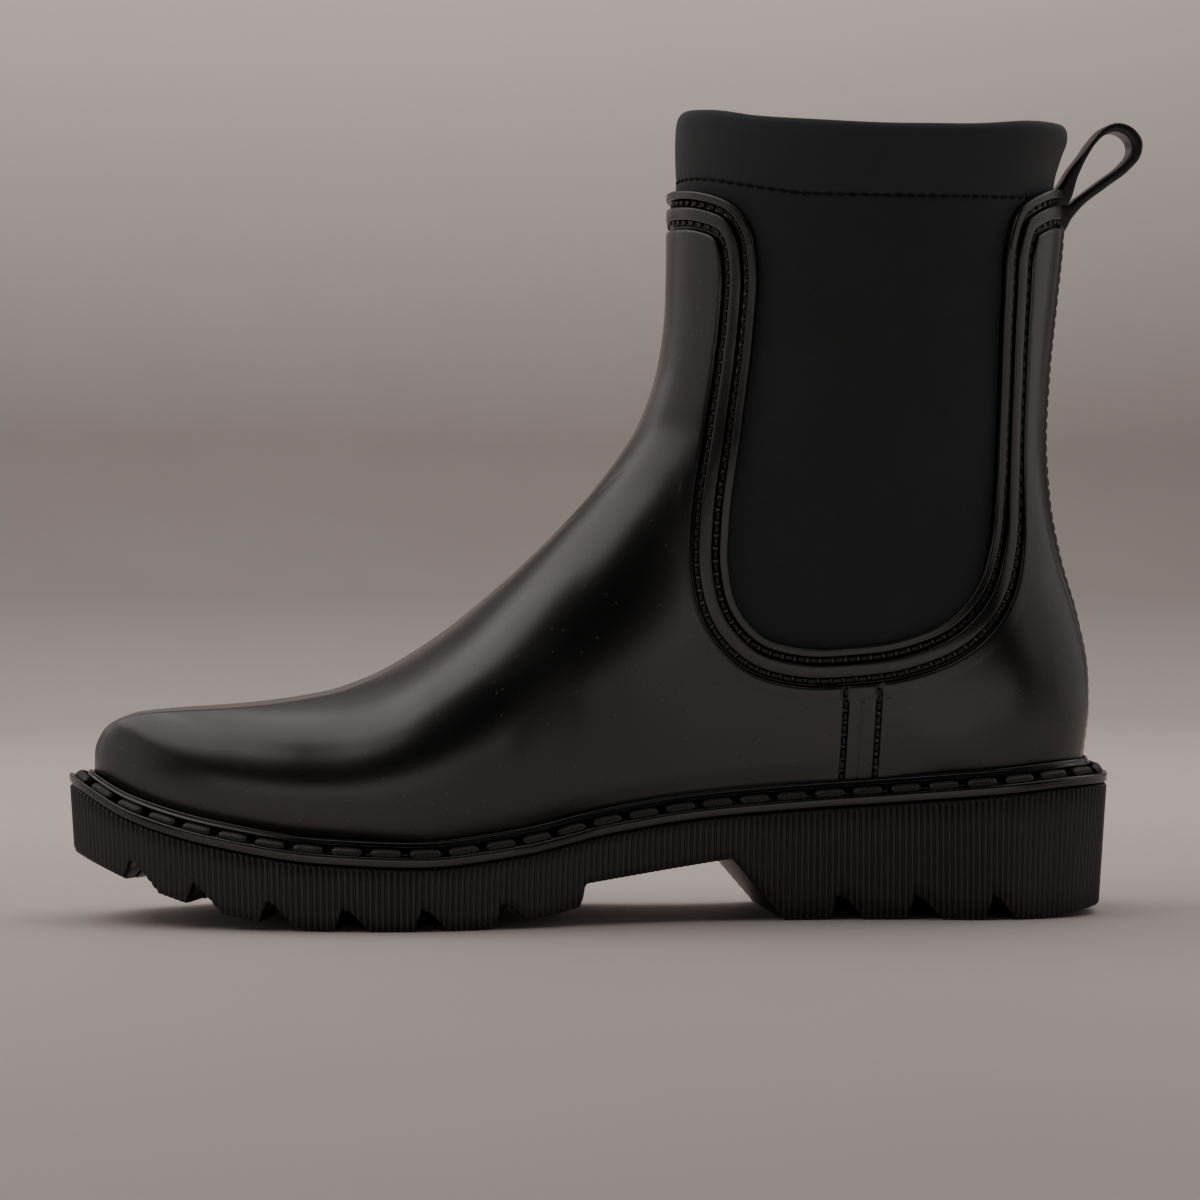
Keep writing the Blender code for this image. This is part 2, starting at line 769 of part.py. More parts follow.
strap_low = rib_top(STRAP_ALONG - STRAP_WIDTH / 2) + WELT_HEIGHT + STRIP_CLEAR
for name, out_from, out_to in (("side_strap_outer", 2.0, 90.0), ("side_strap_inner", -90.0, -2.0)):
    strap = part(name, shell(STRAP_HEIGHT, GAP), rubber, 0.42)
    low = (STRAP_ALONG - STRAP_WIDTH / 2, out_from, strap_low)
    high = (STRAP_ALONG + STRAP_WIDTH / 2, out_to, STRAP_TOP)
    boolean(strap, "INTERSECT", cutter(name + "_box", box(low, high)))

hem_along = np.linspace(HEM[0][0], HEM[-1][0], STATIONS)
hem = list(zip(hem_along, smooth(hem_along, column(HEM, 0), column(HEM, 1))))
over_hem = [(HEM[-1][0], SHELL_TOP + 20.0), (HEM[0][0], SHELL_TOP + 20.0)]
sock = part("sock", shell(-SOCK_FACE, -SOCK_FACE - SOCK_THICKNESS, SOCK_ROW), cloth, 0.9)
boolean(sock, "DIFFERENCE", cutter("over_hem", prism(hem + over_hem)))

part("cuff", ring(cuff_loops(), len(CUFF_SECTION)), cloth, 0.9)
pull_loop()
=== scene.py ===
import bpy
import numpy as np
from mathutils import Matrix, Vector


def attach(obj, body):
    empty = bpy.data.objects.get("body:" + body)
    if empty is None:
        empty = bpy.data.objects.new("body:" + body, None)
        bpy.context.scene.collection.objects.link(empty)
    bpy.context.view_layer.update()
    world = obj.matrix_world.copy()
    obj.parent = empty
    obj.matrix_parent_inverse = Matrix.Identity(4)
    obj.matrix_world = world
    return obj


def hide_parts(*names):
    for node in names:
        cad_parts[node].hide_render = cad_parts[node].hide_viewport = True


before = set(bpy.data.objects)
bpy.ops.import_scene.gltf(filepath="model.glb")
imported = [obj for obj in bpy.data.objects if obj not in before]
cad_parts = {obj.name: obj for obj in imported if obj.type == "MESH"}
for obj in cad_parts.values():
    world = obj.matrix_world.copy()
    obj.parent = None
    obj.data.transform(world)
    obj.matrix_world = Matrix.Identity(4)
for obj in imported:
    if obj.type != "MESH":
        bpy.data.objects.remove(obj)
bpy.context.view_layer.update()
print("frame loaded with", len(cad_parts), "nodes")

# Boot millimetres: along from the back of the sole to the toe, out to the outer side, up from the floor.
# Toe along -X, outer side along -Y in the frame.
mm = 0.001

# The form that the pieces share, as the solids have it
last = {
    "length": 280.0,
    "outline": (  # along, outer half-width, inner half-width of the sole
        (0, 0, 0), (5, 23.3, 23.3), (19, 33.8, 33.8), (36, 37.4, 37.2), (62, 32.8, 32.4),
        (89, 30.6, 28.6), (116, 32.3, 27), (143, 37.2, 30.6), (167, 45.1, 38.2), (192, 49.6, 44.8),
        (221, 44.4, 45.4), (241, 37.1, 40.2), (262, 25.5, 28.6), (275, 13.4, 14.8), (280, 0, 0),
    ),
    "ribTop": (  # along, up
        (0, 35.2), (14, 34.8), (33, 33.2), (63, 30.8), (90, 29), (115, 27), (140, 23.4), (164, 18.6),
        (190, 16.1), (215, 17), (242, 20.9), (264, 27), (280, 36),
    ),
    "front": (  # along, up: middle of the toe, vamp and shaft
        (273.4, 44), (271.4, 50.5), (267, 55.4), (260.2, 58.5), (248, 60), (228, 60.4), (212, 61.6),
        (200.3, 64.7), (185.4, 72.6), (166.2, 87.6), (150.2, 102.7), (136.9, 117.8), (127.1, 133),
        (122.2, 148.2), (120.3, 163.3), (119.9, 180), (119.5, 226), (60, 420),
    ),
    "back": (  # up, along: middle of the back
        (43, 6.6), (56, 5.2), (64, 5.4), (80, 8.3), (96, 12.7), (112, 15.4), (128, 16.4), (145, 15.6),
        (165, 13.6), (183, 11.8), (197, 11.2), (203, 9.6), (209, 7.4), (226, 5.5),
    ),
    "shaft": (  # up, half-width of the oval
        (40, 32.5), (60, 32.5), (90, 31.5), (120, 33), (160, 37), (200, 40), (226, 40.5),
    ),
    "weltReach": 6.5,  # from the sole's outline in to the shell's foot
    "weltHeight": 6.9,
    "footSink": ((62, 0), (95, 0.6), (150, 0.6), (190, 0)),  # along, drawn in this much just above the welt
    "sinkHeight": 6.0,
    "sideTuck": 0.07,  # how much the foot draws in at the welt
    "widest": (  # along, share of the foot's height
        (22, 0.15), (34, 0.17), (48, 0.12), (66, 0.25), (85, 0.36), (165, 0.36), (220, 0.28),
        (280, 0.27),
    ),
    "widestSpread": (0.76, 0.88, 0.96, 1.04, 1.12, 1.24),  # the mean of turns at these shares of it
    "ankle": (60.0, 128.0),  # the foot turns into the shaft between these heights
    "oval": 2.2,  # power of the shaft's level ovals
    "heelCarry": (30.0, 110.0),  # along: the foot follows the back's line less and less between these
    "instep": (90.0, 50.0),  # up to here the foot's sections follow the front line, then level off
    "top": 206.0,
    "loopBack": -11.9,  # back of the pull loop, along
}


# columns of a table as arrays
def columns(rows):
    return np.array(rows, float).T


# arrays of coordinates joined as points
def joined(*parts):
    return np.stack(np.broadcast_arrays(*parts), axis=-1)


# angles at even steps round a full turn
def fullTurn(count):
    return np.linspace(0, 2 * np.pi, count, endpoint=False)


# monotone cubic: end slopes as the chords, inner slopes the weighted harmonic mean of both chords
def smooth(x, knots, values):
    steps = np.diff(knots)
    rise = np.diff(values) / steps
    before = 2 * steps[1:] + steps[:-1]
    after = steps[1:] + 2 * steps[:-1]
    sameWay = rise[:-1] * rise[1:] > 0
    left = np.where(sameWay, rise[:-1], 1.0)
    right = np.where(sameWay, rise[1:], 1.0)
    mean = (before + after) / (before / left + after / right)
    slope = np.concatenate([rise[:1], np.where(sameWay, mean, 0.0), rise[-1:]])
    x = np.clip(x, knots[0], knots[-1])
    i = np.clip(np.searchsorted(knots, x) - 1, 0, len(steps) - 1)
    t = (x - knots[i]) / steps[i]
    start = values[i] * (1 + 2 * t) * (1 - t) ** 2 + slope[i] * steps[i] * t * (1 - t) ** 2
    end = values[i + 1] * t**2 * (3 - 2 * t) + slope[i + 1] * steps[i] * t**2 * (t - 1)
    return start + end


# a table's second column as a smooth curve over its first
def valueAt(table, x):
    return smooth(x, *columns(table))


# 0 before start, 1 after end, 3t^2 - 2t^3 between
def ease(x, start, end):
    t = np.clip((x - start) / (end - start), 0.0, 1.0)
    return t * t * (3 - 2 * t)


# vectors divided by their lengths
def unit(vectors):
    return vectors / np.maximum(np.linalg.norm(vectors, axis=-1, keepdims=True), 1e-12)


# distance travelled along a line of points
def travel(points):
    return np.concatenate([[0.0], np.cumsum(np.linalg.norm(np.diff(points, axis=0), axis=-1))])


# a line of points with its first point once more at the end
def closedUp(line):
    return np.concatenate([line, line[:1]])


# columns of values that go with distances along a line, read at other distances
def resampled(at, lengths, values):
    return joined(*(np.interp(at, lengths, column) for column in values.T))


# cubic pieces through the rows, with slopes taken over the chord lengths
def curveThrough(rows, steps):
    rows = np.array(rows, float)
    lengths = travel(rows)
    slopes = np.gradient(rows, lengths, axis=0)
    t = np.linspace(0, 1, steps, endpoint=False)[None, :, None]
    span = np.diff(lengths)[:, None, None]
    a, b = rows[:-1, None], rows[1:, None]
    leave = a * (1 + 2 * t) * (1 - t) ** 2 + slopes[:-1, None] * span * t * (1 - t) ** 2
    reach = b * t**2 * (3 - 2 * t) + slopes[1:, None] * span * t**2 * (t - 1)
    return np.concatenate([(leave + reach).reshape(-1, rows.shape[1]), rows[-1:]])


# height of the ribs' tops
def ribTop(along):
    return valueAt(last["ribTop"], along)


# height of the welt's top, where the shell's face starts
def weltTop(along):
    return ribTop(along) + last["weltHeight"]


# half-width of the sole: its square is interpolated, so both ends close round
def soleHalf(along, sign):
    knots, outer, inner = columns(last["outline"])
    squares = np.where(sign > 0, smooth(along, knots, outer**2), smooth(along, knots, inner**2))
    return np.sqrt(np.maximum(squares, 0.0))


# the sole's outline at even steps from the toe by the outer side, with outward normals
def soleLine(count, inset=0.0):
    turn = np.linspace(0, 2 * np.pi, 6001)
    along = last["length"] * (1 + np.cos(turn)) / 2
    sign = np.where(turn <= np.pi, 1.0, -1.0)
    dense = joined(along, sign * soleHalf(along, sign))
    lengths = travel(dense)
    at = np.linspace(0, lengths[-1], count, endpoint=False)
    points = resampled(at, lengths, dense)
    way = np.roll(points, -1, axis=0) - np.roll(points, 1, axis=0)
    normals = unit(joined(way[:, 1], -way[:, 0]))
    return points - inset * normals, normals


# distances along and squared half-widths of the outline drawn in by an inset, for one side
def insetSquares(inset, sign):
    points, _ = soleLine(4000, inset)
    chosen = points[points[:, 1] * sign >= 0]
    chosen = chosen[np.argsort(chosen[:, 0])]
    squares = chosen[:, 1] ** 2
    squares[[0, -1]] = 0.0
    return chosen[:, 0], squares


# the shell's foot on both sides, its ends, and the front line from its toe end up
footSides = {sign: insetSquares(last["weltReach"], sign) for sign in (1, -1)}
heelEnd, toeEnd = footSides[1][0][[0, -1]]
frontRows = np.array(((toeEnd, weltTop(toeEnd)),) + last["front"], float)
frontSteps = np.linspace(0, travel(frontRows)[-1], 4000)
frontLine = joined(*(smooth(frontSteps, travel(frontRows), column) for column in frontRows.T))


# height of the front line over a place; above the instep it levels off, where the line runs upright
def crown(along):
    high = np.interp(along, frontLine[::-1, 0], frontLine[::-1, 1])
    instep, room = last["instep"]
    return np.where(high > instep, instep + room * np.tanh((high - instep) / room), high)


# along of the front line at a height
def frontAt(up):
    return np.interp(up, frontLine[:, 1], frontLine[:, 0])


# along of the back line at a height
def backAt(up):
    return valueAt(last["back"], up)


# half-width of the shell: upright half-ovals over the foot turn into level ovals in the shaft
def shellHalf(along, up, sign):
    carried = (backAt(up) - backAt(0.0)) * (1 - ease(along, *last["heelCarry"]))
    sides = [np.interp(along - carried, *footSides[side]) for side in (1, -1)]
    foot = np.sqrt(np.where(sign > 0, *sides))
    base = weltTop(along)
    height = np.clip((up - base) / np.maximum(crown(along) - base, 1.0), 0.0, 1.0)
    widest = valueAt(last["widest"], along)
    places = widest[..., None] * np.array(last["widestSpread"])
    above = np.clip((height[..., None] - places) / (1 - places), 0.0, 1.0)
    below = np.clip((places - height[..., None]) / places, 0.0, 1.0)
    section = np.sqrt(1 - above**2) * (1 - last["sideTuck"] * below**2) / (1 - last["sideTuck"])
    foot = foot * section.mean(axis=-1)
    front, back = frontAt(up), backAt(up)
    across = np.clip((2 * along - front - back) / (front - back), -1.0, 1.0)
    shaft = valueAt(last["shaft"], up) * np.sqrt(1 - np.abs(across) ** last["oval"])
    share = ease(up, *last["ankle"])
    return foot * (1 - share) + shaft * share


# how far the shell is drawn in just above the welt, a cubic that starts and ends level, and how steeply
def footSink(along, up):
    deep, high = valueAt(last["footSink"], along), last["sinkHeight"]
    t = np.clip((up - weltTop(along)) / high, 0.0, 1.0)
    return deep * (1 - t) ** 2 * (1 + 2 * t), deep * 6 * t * (1 - t) / high


# points of the shell's face: along, the half-width to one side, up
def shellPoint(along, up, sign):
    along, up, sign = np.broadcast_arrays(along, up, sign)
    return joined(along, sign * shellHalf(along, up, sign), up)


# outward normals of the shell: the slope of out^2 - half^2, which stays smooth over the crown
def shellNormals(points, sign):
    along, out, up = np.moveaxis(points, -1, 0)
    h = 0.2  # half the step of the slopes
    byAlong = shellHalf(along + h, up, sign) ** 2 - shellHalf(along - h, up, sign) ** 2
    byUp = shellHalf(along, up + h, sign) ** 2 - shellHalf(along, up - h, sign) ** 2
    return unit(joined(-byAlong, 4 * h * out, -byUp))


# outward normals of a grid of points: the cross product of its two ways, turned to face "away"
def gridNormals(grid, closed, away):
    ways = []
    for axis in (0, 1):
        if closed[axis]:
            ways.append(np.roll(grid, -1, axis) - np.roll(grid, 1, axis))
        else:
            ways.append(np.gradient(grid, axis=axis))
    normals = unit(np.cross(*ways))
    return normals * np.sign((normals * away).sum())


middleAlong = (last["length"] + last["loopBack"]) / 2
wholeSteps = np.arange(last["length"])
middleOut = (soleHalf(wholeSteps, 1).max() - soleHalf(wholeSteps, -1).max()) / 2


# boot millimetres to the frame's metres, with both level ways turned round, which keeps the hand
def placed(points):
    along, out, up = np.moveaxis(points, -1, 0)
    return joined(middleAlong - along, middleOut - out, up) * mm


# quads between neighbours of a grid, round the closed ways too
def gridFaces(rows, cols, closed):
    i = np.arange(rows if closed[0] else rows - 1)[:, None]
    j = np.arange(cols if closed[1] else cols - 1)[None, :]
    nextI, nextJ = (i + 1) % rows, (j + 1) % cols
    corners = [i * cols + j, i * cols + nextJ, nextI * cols + nextJ, nextI * cols + j]
    return joined(*corners).reshape(-1, 4)


# an object from points and arrays of faces, shaded smooth, on the boot's one body
def meshObject(name, points, faceSets, material):
    mesh = bpy.data.meshes.new(name)
    mesh.vertices.add(len(points))
    mesh.vertices.foreach_set("co", placed(points).astype(np.float32).ravel())
    corners = np.concatenate([faces.ravel() for faces in faceSets])
    sizes = np.concatenate([np.full(len(faces), faces.shape[1]) for faces in faceSets])
    mesh.loops.add(len(corners))
    mesh.loops.foreach_set("vertex_index", corners.astype(np.int32))
    mesh.polygons.add(len(sizes))
    mesh.polygons.foreach_set("loop_start", (np.cumsum(sizes) - sizes).astype(np.int32))
    mesh.update(calc_edges=True)
    mesh.shade_smooth()
    piece = bpy.data.objects.new(name, mesh)
    bpy.context.scene.collection.objects.link(piece)
    mesh.materials.append(material)
    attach(piece, "root")
    return piece


# faces, all turned over if the cross products of their sides look against the normals on the whole
def turnedOut(faces, points, normals):
    a, b, c = (points[faces[:, k]] for k in (0, 1, 3))
    facing = (np.cross(b - a, c - a) * normals[faces[:, 0]]).sum()
    return faces if facing > 0 else faces[:, ::-1]


# a piece from a grid whose faces look along "away", with a UV map of lengths if given
def gridObject(name, grid, closed, material, away, uv=None):
    points = grid.reshape(-1, 3)
    faces = turnedOut(gridFaces(*grid.shape[:2], closed), points, away.reshape(-1, 3))
    piece = meshObject(name, points, [faces], material)
    if uv is not None:
        layer = piece.data.uv_layers.new(name="UVMap")
        layer.data.foreach_set("uv", uv.reshape(-1, 2)[faces.ravel()].astype(np.float32).ravel())
    return piece


# Shader maths

class Wire:
    # a shader socket: sums, differences, products, quotients and comparisons add Math nodes
    def __init__(self, tree, socket=None):
        self.tree = tree
        self.socket = socket

    # any node: its settings first, a ramp's stops as greys, then the values or links of its sockets
    def node(self, kind, settings=None, inputs=None, output=0):
        made = self.tree.nodes.new(kind)
        for name, value in (settings or {}).items():
            if name == "stops":
                for place, _ in value[2:]:
                    made.color_ramp.elements.new(place)
                for stop, (place, level) in zip(made.color_ramp.elements, sorted(value)):
                    stop.position = place
                    stop.color = (level, level, level, 1.0)
            else:
                setattr(made, name, value)
        for name, value in (inputs or {}).items():
            if isinstance(value, Wire):
                self.tree.links.new(value.socket, made.inputs[name])
            else:
                made.inputs[name].default_value = value
        return Wire(self.tree, made.outputs[output])

    # one Math node on wires or numbers
    def maths(self, operation, first, second=0.0):
        return self.node("ShaderNodeMath", {"operation": operation}, {0: first, 1: second})

    def __add__(self, other):
        return self.maths("ADD", self, other)

    def __radd__(self, other):
        return self.maths("ADD", other, self)

    def __sub__(self, other):
        return self.maths("SUBTRACT", self, other)

    def __rsub__(self, other):
        return self.maths("SUBTRACT", other, self)

    def __mul__(self, other):
        return self.maths("MULTIPLY", self, other)

    def __rmul__(self, other):
        return self.maths("MULTIPLY", other, self)

    def __truediv__(self, other):
        return self.maths("DIVIDE", self, other)

    def __gt__(self, other):
        return self.maths("GREATER_THAN", self, other)

    def __lt__(self, other):
        return self.maths("LESS_THAN", self, other)


# a new material, its tree as a wire, its shader node and the object coordinates
def startMaterial(name, constants):
    material = bpy.data.materials.new(name)
    material.use_nodes = True
    tree = material.node_tree
    shader = tree.nodes["Principled BSDF"]
    for socket, value in constants.items():
        shader.inputs[socket].default_value = value
    wire = Wire(tree)
    place = wire.node("ShaderNodeTexCoord", output=3)
    return material, wire, shader, place


# fine noise between 0 and 1, in cells of about 1/scale metres
def noise(wire, place, scale, detail, rough):
    inputs = {"Vector": place, "Scale": scale, "Detail": detail, "Roughness": rough}
    return wire.node("ShaderNodeTexNoise", {"normalize": True}, inputs)


# dark and light colours mixed by a factor
def blendColours(wire, factor, dark, light):
    return wire.node("ShaderNodeMix", {"data_type": "RGBA"}, {0: factor, 6: dark, 7: light}, output=2)


# a grey of one level, or a tint of it, as a colour
def grey(level, tint=(1.0, 1.0, 1.0)):
    return tuple(level * share for share in tint) + (1.0,)


# the shader's colour and roughness, and a bump from a height in metres if given
def connect(wire, shader, colour, rough, height=None, strength=0.0, distance=0.0):
    feeds = {"Base Color": colour, "Roughness": rough}
    if height is not None:
        inputs = {"Height": height, "Strength": strength, "Distance": distance}
        feeds["Normal"] = wire.node("ShaderNodeBump", None, inputs)
    for name, value in feeds.items():
        wire.tree.links.new(value.socket, shader.inputs[name])


# sparse round specks: cells of about 1/scale metres, a few of which hold a spot
def specks(wire, place, scale, size, share):
    cells = {"Vector": place, "Scale": scale, "Randomness": 1.0}
    near = wire.node("ShaderNodeTexVoronoi", {"feature": "F1"}, cells)
    pick = wire.node("ShaderNodeTexVoronoi", {"feature": "F1"}, cells, output=1)
    chance = wire.node("ShaderNodeSeparateColor", None, {"Color": pick})
    return (near < size) * (chance > 1 - share)


rubberLooks = {
    "shell": {"dark": 0.0022, "light": 0.0038, "rough": 0.31, "grain": 0.08, "specks": 0.75, "gloss": 1.0},
    "trim": {"dark": 0.0022, "light": 0.0038, "rough": 0.36, "grain": 0.08, "specks": 0.10, "gloss": 1.0},
    "welt": {"dark": 0.0024, "light": 0.0042, "rough": 0.22, "grain": 0.10, "specks": 0.10, "gloss": 0.9},
    "sole": {"dark": 0.0024, "light": 0.0044, "rough": 0.46, "grain": 0.25, "specks": 0.10, "gloss": 0.85},
    "loop": {"dark": 0.0030, "light": 0.0050, "rough": 0.36, "grain": 0.08, "specks": 0.03, "gloss": 0.8},
}
rubberGrain = {
    "clouds": (28.0, 4.0, 0.6),  # scale, detail and roughness of each noise
    "grain": (2600.0, 2.0, 0.6),
    "wipes": (9.0, 3.0, 0.5),
    "dust": (420.0, 0.085),  # scale, size of a speck in its cell
    "dustColour": (0.10, 0.095, 0.09, 1.0),
    "tints": ((1.0, 1.0, 1.04), (1.0, 0.99, 0.98)),  # dark, light
    "roughness": (0.10, 0.12, 0.3),  # added by clouds, wipes and dust
    "relief": 0.00006,
}


# black rubber: dark to light by clouds, dust over it; roughness is a base with clouds, wipes and dust added
def rubber(look):
    sizes = rubberLooks[look]
    constants = {"IOR": 1.5, "Specular IOR Level": sizes["gloss"]}
    material, wire, shader, place = startMaterial(look + " rubber", constants)
    clouds, grain, wipes = (noise(wire, place, *rubberGrain[kind]) for kind in ("clouds", "grain", "wipes"))
    dust = specks(wire, place, *rubberGrain["dust"], sizes["specks"])
    dark, light = (grey(sizes[end], tint) for end, tint in zip(("dark", "light"), rubberGrain["tints"]))
    colour = blendColours(wire, dust, blendColours(wire, clouds, dark, light), rubberGrain["dustColour"])
    byClouds, byWipes, byDust = rubberGrain["roughness"]
    rough = sizes["rough"] + (clouds - 0.5) * byClouds + (wipes - 0.5) * byWipes + dust * byDust
    connect(wire, shader, colour, rough, grain + dust, sizes["grain"], rubberGrain["relief"])
    return material


knit = {
    "shader": {
        "IOR": 1.45, "Specular IOR Level": 0.3,
        "Sheen Weight": 0.22, "Sheen Roughness": 0.45, "Sheen Tint": (0.55, 0.54, 0.53, 1.0),
    },
    "fuzz": (1900.0, 3.0, 0.7),
    "clouds": (45.0, 3.0, 0.6),
    "loops": (0.0009, 0.0007),  # metres: width and height of a loop
    "loopRelief": 0.25,
    "lint": (330.0, 0.06, 0.03),  # scale, size, share of the cells
    "lintColour": (0.08, 0.078, 0.075, 1.0),
    "tint": (0.94, 1.06, 1.12),
    "range": (0.85, 1.15),  # dark and light, as shares of the level
    "rough": (0.82, 0.2),  # middle, spread
    "bump": (0.25, 0.00012),
}


# soft knit over foam: two sine waves on lengths in the surface, multiplied, give its loops; fuzz is added
def neoprene(name, level):
    material, wire, shader, place = startMaterial(name, knit["shader"])
    fuzz, clouds = (noise(wire, place, *knit[kind]) for kind in ("fuzz", "clouds"))
    lengths = wire.node("ShaderNodeUVMap", {"uv_map": "UVMap"})
    ways = [wire.node("ShaderNodeSeparateXYZ", None, {"Vector": lengths}, k) for k in (0, 1)]
    ribs, rows = (wire.maths("SINE", way * (2 * np.pi / size)) for way, size in zip(ways, knit["loops"]))
    lint = specks(wire, place, *knit["lint"])
    dark, light = (grey(level * share, knit["tint"]) for share in knit["range"])
    colour = blendColours(wire, lint, blendColours(wire, clouds, dark, light), knit["lintColour"])
    middle, spread = knit["rough"]
    rough = middle + (fuzz - 0.5) * spread
    connect(wire, shader, colour, rough, ribs * rows * knit["loopRelief"] + fuzz, *knit["bump"])
    return material


fibreLooks = {
    "thread": {
        "shader": {"IOR": 1.5, "Specular IOR Level": 0.5},
        "fibres": (3600.0, 2.0, 0.6), "clouds": (120.0, 2.0, 0.5),
        "range": (0.7, 1.3), "roughSpread": 0.2, "bump": (0.3, 0.00008),
    },
    "felt": {
        "shader": {"Specular IOR Level": 0.2, "Sheen Weight": 0.15},
        "fibres": (1200.0, 4.0, 0.7), "clouds": (60.0, 3.0, 0.6),
        "range": (0.8, 1.25), "roughSpread": 0.15, "bump": (0.5, 0.0002),
    },
}


# bonded thread or felt: dark to light by clouds, roughened and raised by fibres
def fibrous(name, kind, level, rough):
    look = fibreLooks[kind]
    material, wire, shader, place = startMaterial(name, look["shader"])
    fibres, clouds = (noise(wire, place, *look[layer]) for layer in ("fibres", "clouds"))
    colour = blendColours(wire, clouds, *(grey(level * share) for share in look["range"]))
    connect(wire, shader, colour, rough + (fibres - 0.5) * look["roughSpread"], fibres, *look["bump"])
    return material


shellRubber, trimRubber, weltRubber, soleRubber, loopRubber = (rubber(look) for look in rubberLooks)
goreCloth = neoprene("gore neoprene", 0.036)
cuffCloth = neoprene("cuff neoprene", 0.046)
blackThread = fibrous("seam thread", "thread", 0.012, 0.42)
weltThread = fibrous("welt thread", "thread", 0.030, 0.36)
hemThread = fibrous("hem thread", "thread", 0.003, 0.8)
bedFelt = fibrous("foot bed felt", "felt", 0.02, 0.88)
print("materials made")


# Free edge of the shell: bead, stitched channel, band and stitched groove

edge = {
    "line": (  # along, up: front top, window, back top
        (134, 195.4), (119.8, 194.6), (113.7, 193.0), (106.3, 189.0), (102.4, 183), (100.7, 174),
        (101.3, 155), (104.2, 130), (107.2, 104), (107.3, 93), (104.4, 82), (97.5, 74.8), (88, 72),
        (74, 72.1), (60, 74.3), (48.5, 79.4), (40, 89.2), (35.6, 101), (33.8, 115), (33.2, 135),
        (32.9, 165), (32, 180), (28.8, 188.4), (21, 193.4), (9, 196.2), (-6, 196.6),
    ),
    "profile": (  # distance from the free edge, height over the shell's face
        (0.5, -3.1), (0.12, -2.2), (0.0, -1.2), (0.1, -0.5), (0.35, -0.04), (0.75, 0.1), (1.25, 0.02),
        (1.75, 0.12), (2.15, -0.04), (2.38, -0.6), (2.48, -1.3), (2.75, -1.7), (3.4, -1.75),
        (4.1, -1.65), (4.38, -1.2), (4.46, -0.55), (4.65, -0.12), (5.1, 0.0), (6.3, 0.05), (7.4, 0.0),
        (7.75, -0.1), (7.95, -0.4), (8.15, -0.75), (8.9, -0.85), (9.35, -1.2), (9.6, -1.7),
        (9.95, -1.75), (10.2, -1.4), (10.3, -0.7), (10.5, -0.2), (10.95, 0.0), (11.8, 0.03),
        (13.4, 0.02), (15.0, -0.04),
    ),
    "underside": ((15.0, -1.9), (6.0, -2.1), (0.9, -2.9)),
    "step": 0.7,  # spacing of the sections
    "stride": 0.5,  # how far each line is carried over the surface at a time
    "easing": 0.12,  # share taken from each neighbour after a stride
    "reach": 15.0,
    "ovalsFrom": 150.0,  # below this height, turns are taken from the oval there
    "bandEnd": 9.9,  # distance from the free edge
    "strapBelow": 75.0,  # the strap's grooves cut the edge only below this height
    "strapClear": 0.05,
    "mouldLine": (0.1, 0.2, 85.0),  # under the window: depth, half-width, only below this height
    "mouldTick": (178.3, 0.22, 0.14, 2.6),  # across the bead: height, half-width, rise, reach
}
strap = {
    "middle": 71.0,  # along, at the band
    "slant": 0.045,
    "top": 63.0,
    "rows": 4.35,  # stitched grooves, from the middle
    "depth": 1.05,
    "grooveEdge": (0.42, 0.92),  # a groove's floor ends, its wall ends
    "mouldLine": (0.22, 0.12, 0.22),  # two fine lines: from the middle, half-width, depth
    "grid": (30, 190),
    "margin": 12.0,  # half-width of the patch
    "foot": 2.0,  # over the ribs
    "patchTop": (61.4, 0.012),  # height, rise with the square of the distance from the middle
    "lift": 0.03,
    "sideFade": (0.08, 9.6),  # sunk this much at its sides, from this distance out
    "topFade": (0.1, 57.0, 59.2),  # sunk this much from the first height to the second
    "topTuck": (1.2, 0.95),  # tucked in this much at its top, from this share of its height
    "stitch": (3.0, 1.15, 0.7),  # length, width, height
    "stitchDepth": 0.8,
    "stitchSpan": (-1.0, 61.6),  # from the welt's top, to this height
}


# distance from the strap's middle line, which slants a little
def fromStrap(along, up):
    return along - strap["middle"] - strap["slant"] * (strap["top"] - up)


# the other way round: along, at a distance from the strap's middle line
def strapAlong(across, up):
    return strap["middle"] + across + strap["slant"] * (strap["top"] - up)


# two grooves with eased walls, and between them two fine mould lines
def strapRelief(across):
    groove = 1 - ease(np.abs(np.abs(across) - strap["rows"]), *strap["grooveEdge"])
    place, half, depth = strap["mouldLine"]
    line = np.exp(-(((np.abs(across) - place) / half) ** 2))
    return -strap["depth"] * groove - depth * line


# points of the shell at turns round the shaft's oval, 0 at the front line and pi at the back line
def edgeSurface(turn, up, side):
    high = np.maximum(up, edge["ovalsFrom"])
    front, back = frontAt(high), backAt(high)
    along = (front + back) / 2 + (front - back) / 2 * np.cos(turn)
    return shellPoint(along, up, side * np.where(np.sin(turn) < 0, -1.0, 1.0))


# the free edge as turns and heights at even steps of its length
def edgePath(step):
    line = curveThrough(edge["line"], 40)
    places = np.arange(len(line))
    high = np.maximum(line[:, 1], edge["ovalsFrom"])
    front, back = frontAt(high), backAt(high)
    share = (2 * line[:, 0] - front - back) / (front - back)
    first, final = np.interp([-1.0, 1.0], np.maximum.accumulate(-share), places)
    close = (1 - np.cos(np.linspace(0, np.pi, 6001))) / 2
    at = first + (final - first) * close
    up = np.interp(at, places, line[:, 1])
    turn = np.arccos(np.clip(np.interp(at, places, share), -1.0, 1.0))
    lengths = travel(edgeSurface(turn, up, 1.0))
    even = np.linspace(0, lengths[-1], int(round(lengths[-1] / step)) + 1)
    turn, up = np.interp(even, lengths, turn), np.interp(even, lengths, up)
    turn[0], turn[-1] = 0.0, np.pi
    return turn, up


